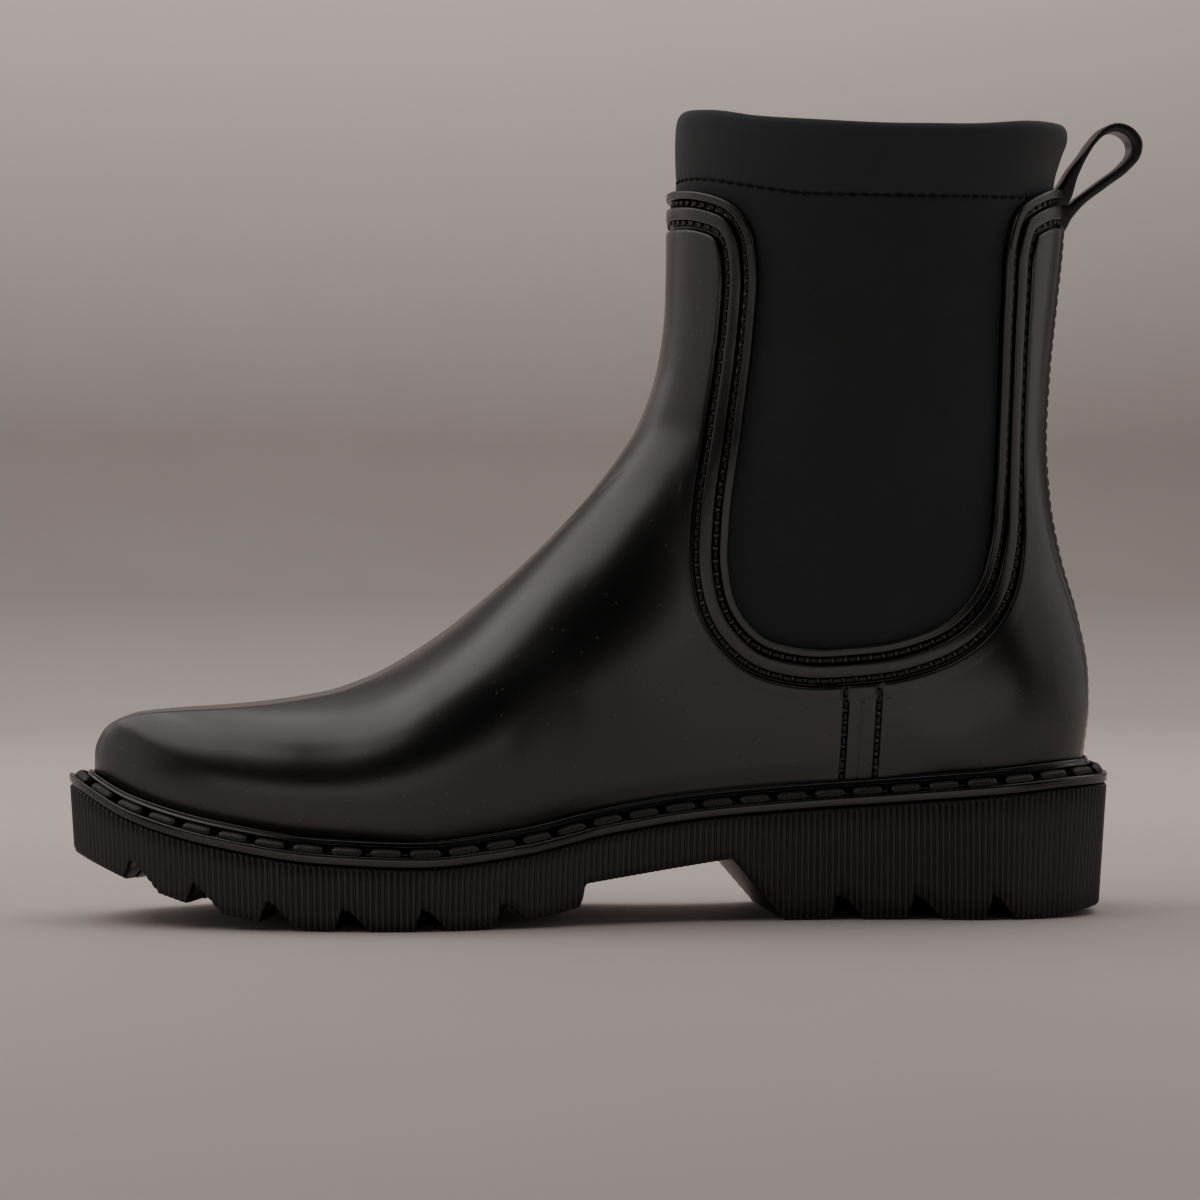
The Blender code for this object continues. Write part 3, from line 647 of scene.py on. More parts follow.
# lines that leave the free edge square to it, carried over the surface in strides, as turns and heights;
# after each stride the points are set evenly apart and eased, so that they never cross in a corner
def edgeLines(side):
    turn, up = edgePath(edge["step"])
    turns, ups = [turn], [up]
    h = 0.01  # half the step of the slopes
    for _ in range(int(edge["reach"] / edge["stride"]) + 2):
        byTurn = (edgeSurface(turn + h, up, side) - edgeSurface(turn - h, up, side)) / (2 * h)
        byUp = (edgeSurface(turn, up + h, side) - edgeSurface(turn, up - h, side)) / (2 * h)
        way = unit(np.gradient(turn)[:, None] * byTurn + np.gradient(up)[:, None] * byUp)
        heading = np.cross(unit(np.cross(byTurn, byUp)), way)
        heading = unit(heading * np.where(heading[:1, 2:] < 0, 1.0, -1.0))
        # the heading as shares of both slopes: two equations, two unknowns
        a, b, c = (byTurn**2).sum(-1), (byTurn * byUp).sum(-1), (byUp**2).sum(-1)
        p, q = (heading * byTurn).sum(-1), (heading * byUp).sum(-1)
        turn = turn + edge["stride"] * (p * c - q * b) / (a * c - b * b)
        up = up + edge["stride"] * (q * a - p * b) / (a * c - b * b)
        turn[0], turn[-1] = 0.0, np.pi
        easing = edge["easing"]
        for values in (turn, up):
            values[1:-1] = values[1:-1] * (1 - 2 * easing) + (values[:-2] + values[2:]) * easing
        lengths = travel(edgeSurface(turn, up, side))
        even = np.linspace(0, lengths[-1], len(turn))
        turn, up = np.interp(even, lengths, turn), np.interp(even, lengths, up)
        turns.append(turn)
        ups.append(up)
    return np.array(turns), np.array(ups)


edgeSides = {side: edgeLines(side) for side in (1.0, -1.0)}


# points at distances from the free edge, between the nearest two lines: round both sides as one closed loop
def edgeGrid(distances):
    at = np.array(distances, float) / edge["stride"]
    low = np.floor(at).astype(int)
    mix = (at - low)[:, None]
    sides = []
    for side, lines in edgeSides.items():
        turn, up = (values[low] * (1 - mix) + values[low + 1] * mix for values in lines)
        sides.append(edgeSurface(turn.T, up.T, side))
    outer, inner = sides
    grid = np.concatenate([outer[:-1], inner[:0:-1]])
    grid[[0, len(outer) - 1], :, 1] = 0.0
    return grid, shellNormals(grid, np.repeat([1.0, -1.0], len(outer) - 1)[:, None])


# height over the shell's face at each distance: the edge's section, cut by the strap's grooves, less a fine
# mould line, with a fine tick across the bead
def edgeRelief(distance, height, base):
    up = base[..., 2]
    across = fromStrap(base[..., 0], up)
    cut = np.where((up < edge["strapBelow"]) & (distance > edge["bandEnd"]), strapRelief(across), 0.0)
    depth, half, below = edge["mouldLine"]
    line = depth * np.exp(-((across / half) ** 2)) * (up < below) * (distance < edge["bandEnd"])
    at, half, rise, reach = edge["mouldTick"]
    tick = rise * np.exp(-(((up - at) / half) ** 2)) * (distance < reach)
    return np.minimum(height, cut + edge["strapClear"]) - line + tick


profile = np.concatenate([curveThrough(edge["profile"], 2), np.array(edge["underside"])])
edgeBase, edgeNormals = edgeGrid(profile[:, 0])
heights = edgeRelief(profile[None, :, 0], profile[None, :, 1], edgeBase)
edgePoints = edgeBase + edgeNormals * heights[..., None]
looksOut = np.arange(len(profile)) < len(profile) - len(edge["underside"])
edgeAway = edgeNormals * np.where(looksOut, 1.0, -1.0)[None, :, None]
edgeTrim = gridObject("edgeTrim", edgePoints, (True, True), shellRubber, edgeAway)
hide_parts("edge_bead", "edge_band")
print("edge trim:", edgePoints.shape)


# Shell: toe, vamp, heel and shaft, sunk under the edge trim and the strap

shell = {
    "rows": 160,
    "halfColumns": 150,
    "wall": 1.9,
    "foot": 0.5,  # height of its lowest loop over the ribs
    "toeCloser": 0.45,  # loops stand closer at the toe
    "backPower": 1.6,  # and closer low at the back
    "sagUntil": 0.45,  # share of the way up over which the loops still follow the welt
    "edgeFrom": 10.5,  # distance from the free edge where the shell starts, under the trim
    "underTrim": (0.6, 10.6, 12.6),  # sunk this much, less between these distances from the free edge
    "underStrap": (1.5, 5.0, 6.0, 72.0),  # sunk this much, less between these distances, below this height
    "openTop": ((-20, 260), (150, 260)),  # along, up: closes the opening's outline far above
}


# loops from the front to the back by the outer side, fanning out from the heel, the first behind the welt
def shellLoops(rows, halfColumns):
    lengths = travel(frontLine)
    reach = np.interp(last["top"], frontLine[:, 1], lengths)
    step = np.linspace(0, 1, rows)[:, None]
    share = step * (1 - shell["toeCloser"] * (1 - step))
    frontAlong, frontUp = (np.interp(share * reach, lengths, column) for column in frontLine.T)
    heelLow, toeLow = weltTop(np.array([heelEnd, toeEnd]))
    backUp = heelLow + (last["top"] - heelLow) * share ** shell["backPower"]
    backAlong = np.where(share > 0, backAt(backUp), heelEnd)
    turn = fullTurn(2 * halfColumns)[None, :]
    forward = (1 + np.cos(turn)) / 2
    along = backAlong + (frontAlong - backAlong) * forward
    level = heelLow + (toeLow - heelLow) * (along - heelEnd) / (toeEnd - heelEnd)
    sag = np.clip(1 - share / shell["sagUntil"], 0, 1) ** 2
    up = backUp + (frontUp - backUp) * forward + sag * (weltTop(along) - level)
    grid = shellPoint(along, up, np.where(turn < np.pi, 1.0, -1.0))
    grid[:, [0, halfColumns], 1] = 0.0
    foot = grid[:1] + np.array([0, 0, shell["foot"] - last["weltHeight"]])
    return np.concatenate([foot, grid])


# distance of points to the nearest point of a line, in blocks
def nearest(points, line):
    blocks = np.array_split(points, 60)
    return np.concatenate([np.sqrt(((block[:, None] - line) ** 2).sum(-1)).min(1) for block in blocks])


# whether points of along and up lie inside a closed outline: crossings of a level ray are odd
def inside(points, outline):
    a, b = outline, np.roll(outline, -1, axis=0)
    x, y = points[:, :1], points[:, 1:]
    spans = (a[:, 1] > y) != (b[:, 1] > y)
    rise = np.where(np.abs(b[:, 1] - a[:, 1]) < 1e-9, 1e-9, b[:, 1] - a[:, 1])
    crossing = a[:, 0] + (y - a[:, 1]) * (b[:, 0] - a[:, 0]) / rise
    return ((spans & (x < crossing)).sum(1) % 2) == 1


# a second skin inside the first, joined to it round every open edge
def closedWall(points, normals, faces, wall):
    count = len(points)
    edges = np.concatenate([faces[:, [k, (k + 1) % 4]] for k in range(4)])
    _, first, number = np.unique(np.sort(edges, axis=1), axis=0, return_index=True, return_counts=True)
    rim = edges[first[number == 1]]
    rimFaces = joined(rim[:, 1], rim[:, 0], rim[:, 0] + count, rim[:, 1] + count)
    skins = np.concatenate([points, points - normals * wall])
    return skins, np.concatenate([faces, faces[:, ::-1] + count, rimFaces])


loops = shellLoops(shell["rows"], shell["halfColumns"])
loopNormals = shellNormals(loops, np.repeat([1.0, -1.0], shell["halfColumns"])[None, :])
loopNormals[0] = loopNormals[1]
flat, flatNormals = loops.reshape(-1, 3), loopNormals.reshape(-1, 3)
flatAlong, _, flatUp = flat.T
openOutline = np.concatenate([curveThrough(edge["line"], 8), shell["openTop"]])
fromEdge = nearest(flat, edgeGrid([0.0])[0][:, 0])
fromEdge = np.where(inside(flat[:, [0, 2]], openOutline), -fromEdge, fromEdge)
trimSink, *trimEase = shell["underTrim"]
strapSink, *strapEase, strapHigh = shell["underStrap"]
underStrap = (1 - ease(np.abs(fromStrap(flatAlong, flatUp)), *strapEase)) * (flatUp < strapHigh)
footIn, footSlope = footSink(flatAlong, flatUp)
sink = trimSink * (1 - ease(fromEdge, *trimEase)) + strapSink * underStrap + footIn
shellPoints = flat - flatNormals * sink[:, None]
faces = gridFaces(*loops.shape[:2], (False, True))
kept = faces[(fromEdge[faces] > shell["edgeFrom"]).all(axis=1)]
used, renumbered = np.unique(turnedOut(kept, shellPoints, flatNormals), return_inverse=True)
renumbered = renumbered.reshape(-1, 4)
skins, skinFaces = closedWall(shellPoints[used], flatNormals[used], renumbered, shell["wall"])
shellPiece = meshObject("shell", skins, [skinFaces], shellRubber)

# the face's own normals, leaning with the sink above the welt, turned round as placed() does
upward = unit(np.array([0.0, 0.0, 1.0]) - flatNormals * flatNormals[:, 2:])
outerNormals = unit(flatNormals - upward * footSlope[:, None])[used]
skinNormals = np.concatenate([outerNormals, -outerNormals]) * np.array([-1.0, -1.0, 1.0])
shellPiece.data.normals_split_custom_set_from_vertices(skinNormals.tolist())
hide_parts("upper")
print("shell:", len(skinFaces), "faces")


# Side straps: a patch each side whose grooves run on into the edge trim

bothSides = (("Outer", 1.0), ("Inner", -1.0))
strapRows, strapColumns = strap["grid"]
patchTop, patchRise = strap["patchTop"]
sideFade, sideFrom = strap["sideFade"]
topFade, *topHeights = strap["topFade"]
tuck, tuckFrom = strap["topTuck"]
for sideName, side in bothSides:
    across = np.linspace(-strap["margin"], strap["margin"], strapColumns)[None, :]
    share = np.linspace(0, 1, strapRows)[:, None]
    foot = ribTop(strap["middle"] + across) + strap["foot"]
    up = foot + (patchTop + patchRise * across**2 - foot) * share
    along = strapAlong(across, up)
    base = shellPoint(along, up, side)
    normals = shellNormals(base, side)
    relief = strapRelief(across) + strap["lift"] - footSink(along, up)[0]
    relief = relief - sideFade * ease(np.abs(across), sideFrom, strap["margin"])
    relief = relief - topFade * ease(up, *topHeights) - tuck * ease(share, tuckFrom, 1.0)
    points = base + normals * relief[..., None]
    patch = gridObject("sideStrap" + sideName, points, (False, False), shellRubber, normals)
    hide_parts("side_strap_" + sideName.lower())


# Back stay: a raised strip down the back with two stitched grooves

stay = {
    "half": 7.0,  # half-width
    "margin": 0.5,
    "height": 0.75,
    "groove": 5.0,  # from the middle
    "depth": 0.45,
    "top": 186.2,
    "above": 0.6,  # where its stitches start, over the welt
    "foot": 4.0,  # it runs on down behind the welt
    "grid": (170, 90),
    "edgeEase": (-0.5, 0.2),  # its edge falls between these distances from its half-width
    "grooveEase": (0.4, 0.9),  # a groove's floor ends, its wall ends
    "topEase": 0.8,
    "seat": 0.05,  # sunk into the shell by this much
    "edgeSeat": (0.3, 0.1),  # this far past its half-width, by this much more
    "search": 30.0,  # how far along the face is looked for
    "stitch": (2.7, 1.1, 0.8),  # length, width, height
    "stitchLift": 0.55,
    "stitchTop": 1.0,  # below its top
}
backwards = np.array([-1.0, 0.0, 0.0])


# points of the back at distances out from the middle: their place along the boot is found by halving
def stayBase(out, up):
    out, up = np.broadcast_arrays(out, up)
    sign = np.where(out < 0, -1.0, 1.0)
    low, high = backAt(up), backAt(up) + stay["search"]
    for _ in range(40):
        half = (low + high) / 2
        short = shellHalf(half, up, sign) < np.abs(out)
        low, high = np.where(short, half, low), np.where(short, high, half)
    return joined((low + high) / 2, out, up)


stayRows, stayColumns = stay["grid"]
stayHalf = stay["half"] + stay["margin"]
stayAcross = np.linspace(-stayHalf, stayHalf, stayColumns)[None, :]
stayLow = weltTop(heelEnd) + stay["above"]
stayUp = np.linspace(stayLow - stay["foot"], stay["top"], stayRows)[:, None]
stayGrid = stayBase(stayAcross, stayUp)
stayNormals = gridNormals(stayGrid, (False, False), backwards)
stayOut = np.abs(stayAcross)
rise = stay["height"] * (1 - ease(stayOut - stay["half"], *stay["edgeEase"]))
groove = stay["depth"] * (1 - ease(np.abs(stayOut - stay["groove"]), *stay["grooveEase"]))
ends = 1 - ease(stayUp, stay["top"] - stay["topEase"], stay["top"])
seatFrom, seatMore = stay["edgeSeat"]
stayRelief = (rise - groove) * ends - stay["seat"] - seatMore * (stayOut > stay["half"] + seatFrom)
stayPoints = stayGrid + stayNormals * stayRelief[..., None]
stayPiece = gridObject("backStay", stayPoints, (False, False), trimRubber, stayNormals)
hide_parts("back_stay")
print("straps and stay made")


# Sock: neoprene gores behind the windows, up to the hem

sock = {
    "face": 2.5,  # depth behind the shell's face
    "thickness": 2.5,
    "low": (62.0, 105.0, 0.9),  # lowest height, where it starts to rise towards the instep, and how steeply
    "rows": 110,
    "rowPower": 0.9,
    "columns": 240,
    "turnIn": (0.35, 1.2),  # drawn in by this much over this height under the hem
}
hem = {
    "line": (  # along, up
        (-8, 194.2), (12, 193.4), (30, 191.4), (60, 190.8), (86, 191.2), (102, 193.6), (119, 197.2),
        (134, 198),
    ),
    "collar": (  # along, up
        (-8, 213.6), (12, 212.4), (50, 210.4), (78, 210.8), (102, 212.8), (119, 216), (134, 216.6),
    ),
    "stitch": (1.9, 0.8, 0.6),  # length, width, height
    "stitchDepth": 2.72,
    "stitchLift": 0.1,
    "aside": (-0.5, 0.0, 0.5),  # lines beside the hem, for its normals
    "pitch": 3.1,
}


# height of the hem
def hemAt(along):
    return valueAt(hem["line"], along)


# height of the collar's top
def collarAt(along):
    return valueAt(hem["collar"], along)


# height of the sock's lower edge: level, then rising
def sockLow(along):
    low, start, steep = sock["low"]
    return low + np.maximum(along - start, 0.0) * steep


# heights at shares of the way from one line to another, as a function of along
def between(lowAt, highAt, share):
    return lambda along: lowAt(along) + (highAt(along) - lowAt(along)) * share


# points of the shaft at turns round it, with a height worked out from where they lie along the boot
def shaftPoints(turn, heightAt):
    up = np.full(np.shape(turn), last["top"])
    for _ in range(40):
        along = backAt(up) + (frontAt(up) - backAt(up)) * (1 + np.cos(turn)) / 2
        up = up * 0.5 + heightAt(along) * 0.5
    sign = np.where(np.mod(turn, 2 * np.pi) < np.pi, 1.0, -1.0)
    points = shellPoint(along, up, sign)
    points[np.abs(np.sin(turn)) < 1e-9, 1] = 0.0
    return points


turns = fullTurn(sock["columns"])[None, :]
share = np.linspace(0, 1, sock["rows"])[:, None] ** sock["rowPower"]
sockBase = shaftPoints(turns + 0 * share, between(sockLow, hemAt, share))
sockNormals = shellNormals(sockBase, np.where(turns < np.pi, 1.0, -1.0))
turnIn, turnHigh = sock["turnIn"]
turnedIn = turnIn * (1 - ease(hemAt(sockBase[..., 0]) - sockBase[..., 2], 0.0, turnHigh))
sockFace = sockBase - sockNormals * (sock["face"] + turnedIn)[..., None]
sockBack = sockBase - sockNormals * (sock["face"] + sock["thickness"])
sockGrid = np.concatenate([sockFace, sockBack[::-1]])
sockAway = np.concatenate([sockNormals, -sockNormals[::-1]])
sockHeights = np.concatenate([sockBase, sockBase[::-1]])[..., 2]
sockUv = joined(travel(sockBase[-1]), sockHeights) * mm
sockPiece = gridObject("sockCloth", sockGrid, (True, True), goreCloth, sockAway, sockUv)
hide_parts("sock")


# Cuff: padded fold over the top, drawn in along its hem by the stitches

cuff = {
    "section": (  # share of height, depth behind the shell's face
        (0.0, 2.95), (0.04, 2.72), (0.12, 2.55), (0.32, 2.42), (0.55, 2.4), (0.74, 2.45), (0.87, 2.75),
        (0.955, 3.4), (0.99, 4.1), (1.0, 4.8), (0.985, 5.6), (0.94, 6.4), (0.84, 7.0), (0.6, 7.3),
        (0.2, 7.3), (0.0, 7.2),
    ),
    "columns": 320,
    "levels": 40,
    "overHem": 0.25,
    "height": 20.0,
    "backFrom": 5.0,  # deeper points of the section face the leg
    "pucker": (0.07, 0.16),  # depth, share of the height over which it fades
    "waves": ((3, 0.6, 0.5), (5, 2.1, 0.3), (11, 1.0, 0.2)),  # slow waves round it: number, phase, share
    "swell": 0.35,
    "lift": (0.45, 0.5),  # rise of the waves at the top, from this share of the height
    "fill": 0.85,
}


# height of the cuff's foot, just over the hem
def cuffLow(along):
    return hemAt(along) + cuff["overHem"]


section = curveThrough(cuff["section"], 3)
sectionUp, sectionDepth = np.clip(section[:, 0], 0, 1), section[:, 1:]
outerFace = sectionDepth < cuff["backFrom"]
turns = fullTurn(cuff["columns"])[None, :]
levels = np.linspace(0, 1, cuff["levels"])[:, None]
cuffBase = shaftPoints(turns + 0 * levels, between(cuffLow, collarAt, levels))
cuffNormals = gridNormals(cuffBase, (False, True), cuffBase - cuffBase.mean(axis=1, keepdims=True))
cuffRound = travel(cuffBase[0])
cuffGirth = cuffRound[-1] + cuffRound[1]
cuffPitch = cuffGirth / round(cuffGirth / hem["pitch"])
slow = sum(np.sin(number * turns + phase) * part for number, phase, part in cuff["waves"])
level = sectionUp * (cuff["levels"] - 1)
lowLevel = np.minimum(level.astype(int), cuff["levels"] - 2)
part = (level - lowLevel)[:, None, None]
base = cuffBase[lowLevel] * (1 - part) + cuffBase[lowLevel + 1] * part
normals = unit(cuffNormals[lowLevel] * (1 - part) + cuffNormals[lowLevel + 1] * part)
pucker, puckerHigh = cuff["pucker"]
nearHem = np.exp(-((section[:, :1] / puckerHigh) ** 2))
belly = np.sin(np.pi * sectionUp)[:, None] * outerFace
puckers = pucker * nearHem * np.cos(2 * np.pi * cuffRound / cuffPitch)
depth = sectionDepth + puckers - cuff["swell"] * belly * slow
cuffGrid = base - normals * depth[..., None]
lift, liftFrom = cuff["lift"]
cuffGrid[..., 2] += lift * slow * ease(section[:, :1], liftFrom, 1.0)
cuffAway = normals * np.where(outerFace, 1.0, -1.0)[..., None]
sectionLength = travel(section * np.array([cuff["height"], 1.0]))
cuffUv = joined(cuffRound, sectionLength[:, None]) * mm
cuffPiece = gridObject("cuffFold", cuffGrid, (True, True), cuffCloth, cuffAway, cuffUv)
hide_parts("cuff")
print("sock and cuff made")


# Stitches: one low loop of thread, set along the seams

# a thread of unit length, width and height: the section times the root of 1 - |2x|^blunt, so that it swells
# from the ends, closed by a point at each
def threadLoop(rings, blunt, section):
    x = np.linspace(-0.5, 0.5, rings + 2)[1:-1, None]
    swell = (1 - np.abs(2 * x) ** blunt) ** 0.5
    across, high = columns(section)
    ring = joined(x, swell * across, swell * high).reshape(-1, 3)
    points = np.concatenate([ring, [[-0.5, 0, 0], [0.5, 0, 0]]])
    sides = len(across)
    quads = gridFaces(rings, sides, (False, True))[:, ::-1]
    first = np.arange(sides)
    after = (first + 1) % sides
    tail = (rings - 1) * sides
    caps = [joined(after, first, len(ring)), joined(tail + first, tail + after, len(ring) + 1)]
    return points, quads, np.concatenate(caps)


# many loops at once: template times length, width and height on each place's own three ways
def stitchRow(name, places, ways, ups, size, material, slot, template):
    points, quads, caps = template
    ways = unit(ways)
    across = unit(np.cross(ups, ways))
    axes = np.stack([ways, across, np.cross(ways, across)], axis=1)
    spots = (points * np.array(size)) @ axes + places[:, None]
    shift = (np.arange(len(places)) * len(points))[:, None, None]
    faceSets = [(quads + shift).reshape(-1, 4), (caps + shift).reshape(-1, 3)]
    piece = meshObject(name, spots.reshape(-1, 3), faceSets, material)


# places, ways and normals at an even pitch along a line, with the normals of the dense line
def alongLine(line, normals, pitch, closed):
    if closed:
        line, normals = closedUp(line), closedUp(normals)
    lengths = travel(line)
    count = int(round(lengths[-1] / pitch))
    at = (np.arange(count) + 0.5) * lengths[-1] / count
    ahead = np.gradient(line, lengths, axis=0)
    line, ahead, normals = (resampled(at, lengths, values) for values in (line, ahead, normals))
    return line, ahead, unit(normals)


seam = {
    "pitch": 3.4,
    "size": (3.0, 1.25, 0.8),  # length, width, height
    "rows": (("Channel", 3.3, 1.5), ("Groove", 8.7, 0.62)),  # name, distance from the edge, depth
    "section": ((0.0, -0.5), (0.5, -0.1), (0.3, 0.5), (0.0, 0.1), (-0.3, 0.5), (-0.5, -0.1)),  # two strands
    "rings": 6,
    "blunt": 4.0,
    "aside": (-0.4, 0.0, 0.4),  # lines beside the seam, for its normals
    "steps": (200, 300, 900),  # points along a strap, the stay and the hem
}
strapSteps, staySteps, hemSteps = seam["steps"]
fineLoop = threadLoop(seam["rings"], seam["blunt"], seam["section"])
for rowName, distance, depth in seam["rows"]:
    row, rowNormals = edgeGrid([distance])
    line = row[:, 0] - rowNormals[:, 0] * depth
    places = alongLine(line, rowNormals[:, 0], seam["pitch"], True)
    stitchRow("edgeStitches" + rowName, *places, seam["size"], blackThread, "trim_rubber", fineLoop)

spanLow, spanHigh = strap["stitchSpan"]
for sideName, side in bothSides:
    for rowName, across in (("Front", strap["rows"]), ("Back", -strap["rows"])):
        up = np.linspace(weltTop(strap["middle"] + across) + spanLow, spanHigh, strapSteps)
        face = shellPoint(strapAlong(across, up), up, side)
        normals = shellNormals(face, side)
        places = alongLine(face - normals * strap["stitchDepth"], normals, seam["pitch"], False)
        rowName = "strapStitches" + sideName + rowName
        stitchRow(rowName, *places, strap["stitch"], blackThread, "trim_rubber", fineLoop)

up = np.linspace(stayLow, stay["top"] - stay["stitchTop"], staySteps)
for sideName, side in bothSides:
    sheet = np.stack([stayBase(side * stay["groove"] + aside, up) for aside in seam["aside"]], axis=1)
    normals = gridNormals(sheet, (False, False), backwards)[:, 1]
    places = alongLine(sheet[:, 1] + normals * stay["stitchLift"], normals, hem["pitch"], False)
    stitchRow("stayStitches" + sideName, *places, stay["stitch"], blackThread, "trim_rubber", fineLoop)


# a line round the shaft, this far over the hem
def overHem(lift):
    return shaftPoints(fullTurn(hemSteps), lambda along: hemAt(along) + lift)


sheet = np.stack([overHem(hem["stitchLift"] + aside) for aside in hem["aside"]], axis=1)
normals = gridNormals(sheet, (True, False), sheet - sheet.mean(axis=0, keepdims=True))[:, 1]
places = alongLine(sheet[:, 1] - normals * hem["stitchDepth"], normals, cuffPitch, True)
stitchRow("hemStitches", *places, hem["stitch"], hemThread, "cuff_neoprene", fineLoop)
print("seam stitches made")


# Welt: bead, upstand, stitched channel with raised lip, rim band

welt = {
    "section": (  # reach from the shell's foot, height over the ribs
        (-1.2, 0.3), (-1.2, 3.0), (-1.1, 5.6), (-0.6, 6.1), (0.2, 6.3), (0.5, 6.6), (0.75, 6.85),
        (1.0, 6.9), (1.25, 6.75), (1.4, 6.4), (1.42, 6.1), (1.55, 5.85), (1.75, 5.5), (1.85, 5.25),
        (1.55, 5.05), (1.1, 4.6), (0.95, 3.9), (1.1, 3.0), (1.7, 2.1), (2.6, 1.7), (3.4, 1.6),
        (4.5, 1.6), (5.0, 2.0), (5.2, 2.55), (5.4, 2.82), (5.7, 2.9), (6.1, 2.88), (6.35, 2.78),
        (6.52, 2.55), (6.6, 2.2), (6.6, 1.5), (6.58, 0.9), (6.4, 0.5), (6.0, 0.3), (3.0, 0.3),
    ),
    "recess": (1.8, 3.3, 4.2, 5.2),  # reach of its fill between the stitches, from and to these heights
    "recessFrom": 0.5,  # reach
    "channel": ((2.0, 3.0), (4.6, 5.2)),  # reach: its floor starts, its floor ends
    "floorOver": 1.0,  # height, over the underside
    "gap": 0.085,  # share of the pitch between two stitches
    "bridge": -0.3,  # depth of the channel's floor there
    "middle": (3.2, 2.5),  # reach, height inside the section
    "pitch": 10.15,
    "columnsPerStitch": 14,
    "stitch": (8.2, 3.1, 2.4),  # length, width, height
    "stitchAt": (3.7, 3.55),  # reach, height
    "stitchLean": (0.62, 0.78),  # out, up
    "rings": 46,
    "sides": 14,
    "blunt": 6.0,
    "twist": (0.16, 9.0, 1.6, 0.46),  # depth, turns along, turns across, half the length it covers
}

weltLine, _ = soleLine(4000, last["weltReach"] - welt["stitchAt"][0])
stitchCount = int(round(travel(closedUp(weltLine))[-1] / welt["pitch"]))


# the welt's line at even steps of the stitch line, so that each stitch has the same share of it
def weltFrame(count):
    points, normals = soleLine(8000)
    lengths = travel(closedUp(points - normals * (last["weltReach"] - welt["stitchAt"][0])))
    at = np.arange(count) * lengths[-1] / count
    points, normals = (resampled(at, lengths, closedUp(values)) for values in (points, normals))
    return points, unit(normals)


# a point of the section at each place, following the tops of the ribs
def weltPoints(points, normals, reach, height):
    moved = points + normals * (reach - last["weltReach"])
    return joined(moved[..., 0], moved[..., 1], ribTop(moved[..., 0]) + height)


weltColumns = stitchCount * welt["columnsPerStitch"]
weltAt, weltOut = weltFrame(weltColumns)
weltSection = curveThrough(welt["section"], 2)
reaches, heights = weltSection.T
phase = (np.arange(weltColumns) % welt["columnsPerStitch"]) / welt["columnsPerStitch"]
gapShare = np.exp(-((np.minimum(phase, 1 - phase) / welt["gap"]) ** 2))[:, None]
floorStart, floorEnd = welt["channel"]
inChannel = ease(reaches, *floorStart) * (1 - ease(reaches, *floorEnd)) * (heights > welt["floorOver"])
fillReach, fillLow, fillHigh, fillTop = welt["recess"]
inRecess = ease(heights, fillLow, fillHigh) * (heights < fillTop) * (reaches > welt["recessFrom"])
weltHeights = heights + welt["bridge"] * gapShare * inChannel
weltReaches = reaches + gapShare * inRecess * (fillReach - reaches)
weltGrid = weltPoints(weltAt[:, None], weltOut[:, None], weltReaches[..., None], weltHeights)
awayOut, awayUp = (weltSection - np.array(welt["middle"])).T
weltAway = joined(weltOut[:, :1] * awayOut, weltOut[:, 1:] * awayOut, awayUp)
weltPiece = gridObject("weltRing", weltGrid, (True, True), weltRubber, weltAway)
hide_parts("welt")

padTurn = fullTurn(welt["sides"])
padRound = joined(np.cos(padTurn), np.sin(padTurn)) / 2
padPoints, *padFaces = threadLoop(welt["rings"], welt["blunt"], padRound)
twist, turnsAlong, turnsAcross, covered = welt["twist"]
strands = np.cos(2 * np.pi * (padPoints[:, 0] * turnsAlong + padPoints[:, 1] * turnsAcross))
padPoints[:, 1:] *= (1 + twist * strands * (np.abs(padPoints[:, 0]) < covered))[:, None]
quarterAt, quarterOut = weltFrame(stitchCount * 4)
quarters = weltPoints(quarterAt, quarterOut, *welt["stitchAt"])
padWays = quarters[3::4] - quarters[1::4]
leanOut, leanUp = welt["stitchLean"]
padUps = joined(*(quarterOut[2::4] * leanOut).T, leanUp)
pads = (quarters[2::4], padWays, padUps)
stitchRow("weltStitches", *pads, welt["stitch"], weltThread, "welt_rubber", (padPoints, *padFaces))
print("welt made with", stitchCount, "stitches")


# Outsole: ribbed wall, lugs, heel, waist and toe spring

outsole = {
    "draft": 0.065,  # the wall leans in by this much of its depth
    "ribPitch": 1.61,
    "ribDepth": 0.8,
    "ribPower": 0.9,
    "pointsPerRib": 6,
    "heelBevel": (24.0, 3.0),  # length, rise
    "heelFront": 92.3,
    "breastTop": (106.4, 16.6),
    "waistFront": (145.8, 10.9),
    "forefootBack": 147.5,
    "flat": (184.0, 206.0),
    "rockers": (140.0, 155.0),  # radii behind and before the flat
    "beyond": 6.0,  # the bottom's line runs past both ends
    "notch": ((0.0, 0.0), (2.0, 1.0), (4.3, 0.84), (9.3, 0.0)),  # back from its toe side, share of depth
    "heelNotches": (40.0, 60.5, 80.5),
    "toeNotches": (170.6, 192.0, 212.6, 231.8, 250.6, 266.8),
    "notchDepths": (6.5, 5.7),  # heel, forefoot
    "skew": (0.16, 100.0, 150.0),  # forefoot notches run this much towards the heel on their way across
    "edgeRound": 0.35,
    "topInset": 0.9,
    "topRound": ((0.35, 0.45), (0.9, 0.0)),  # below the top, in from the ribs
    "topShares": (0.0, 0.6, 1.0),  # rows of the upper face, out from the middle
    "wallShares": (0.3, 0.55, 0.8, 1.0),  # rows of the wall, down from its rounded top
    "treadShares": (1.0, 0.75, 0.5, 0.25, 0.0),  # rows of the running face, in to the middle
}


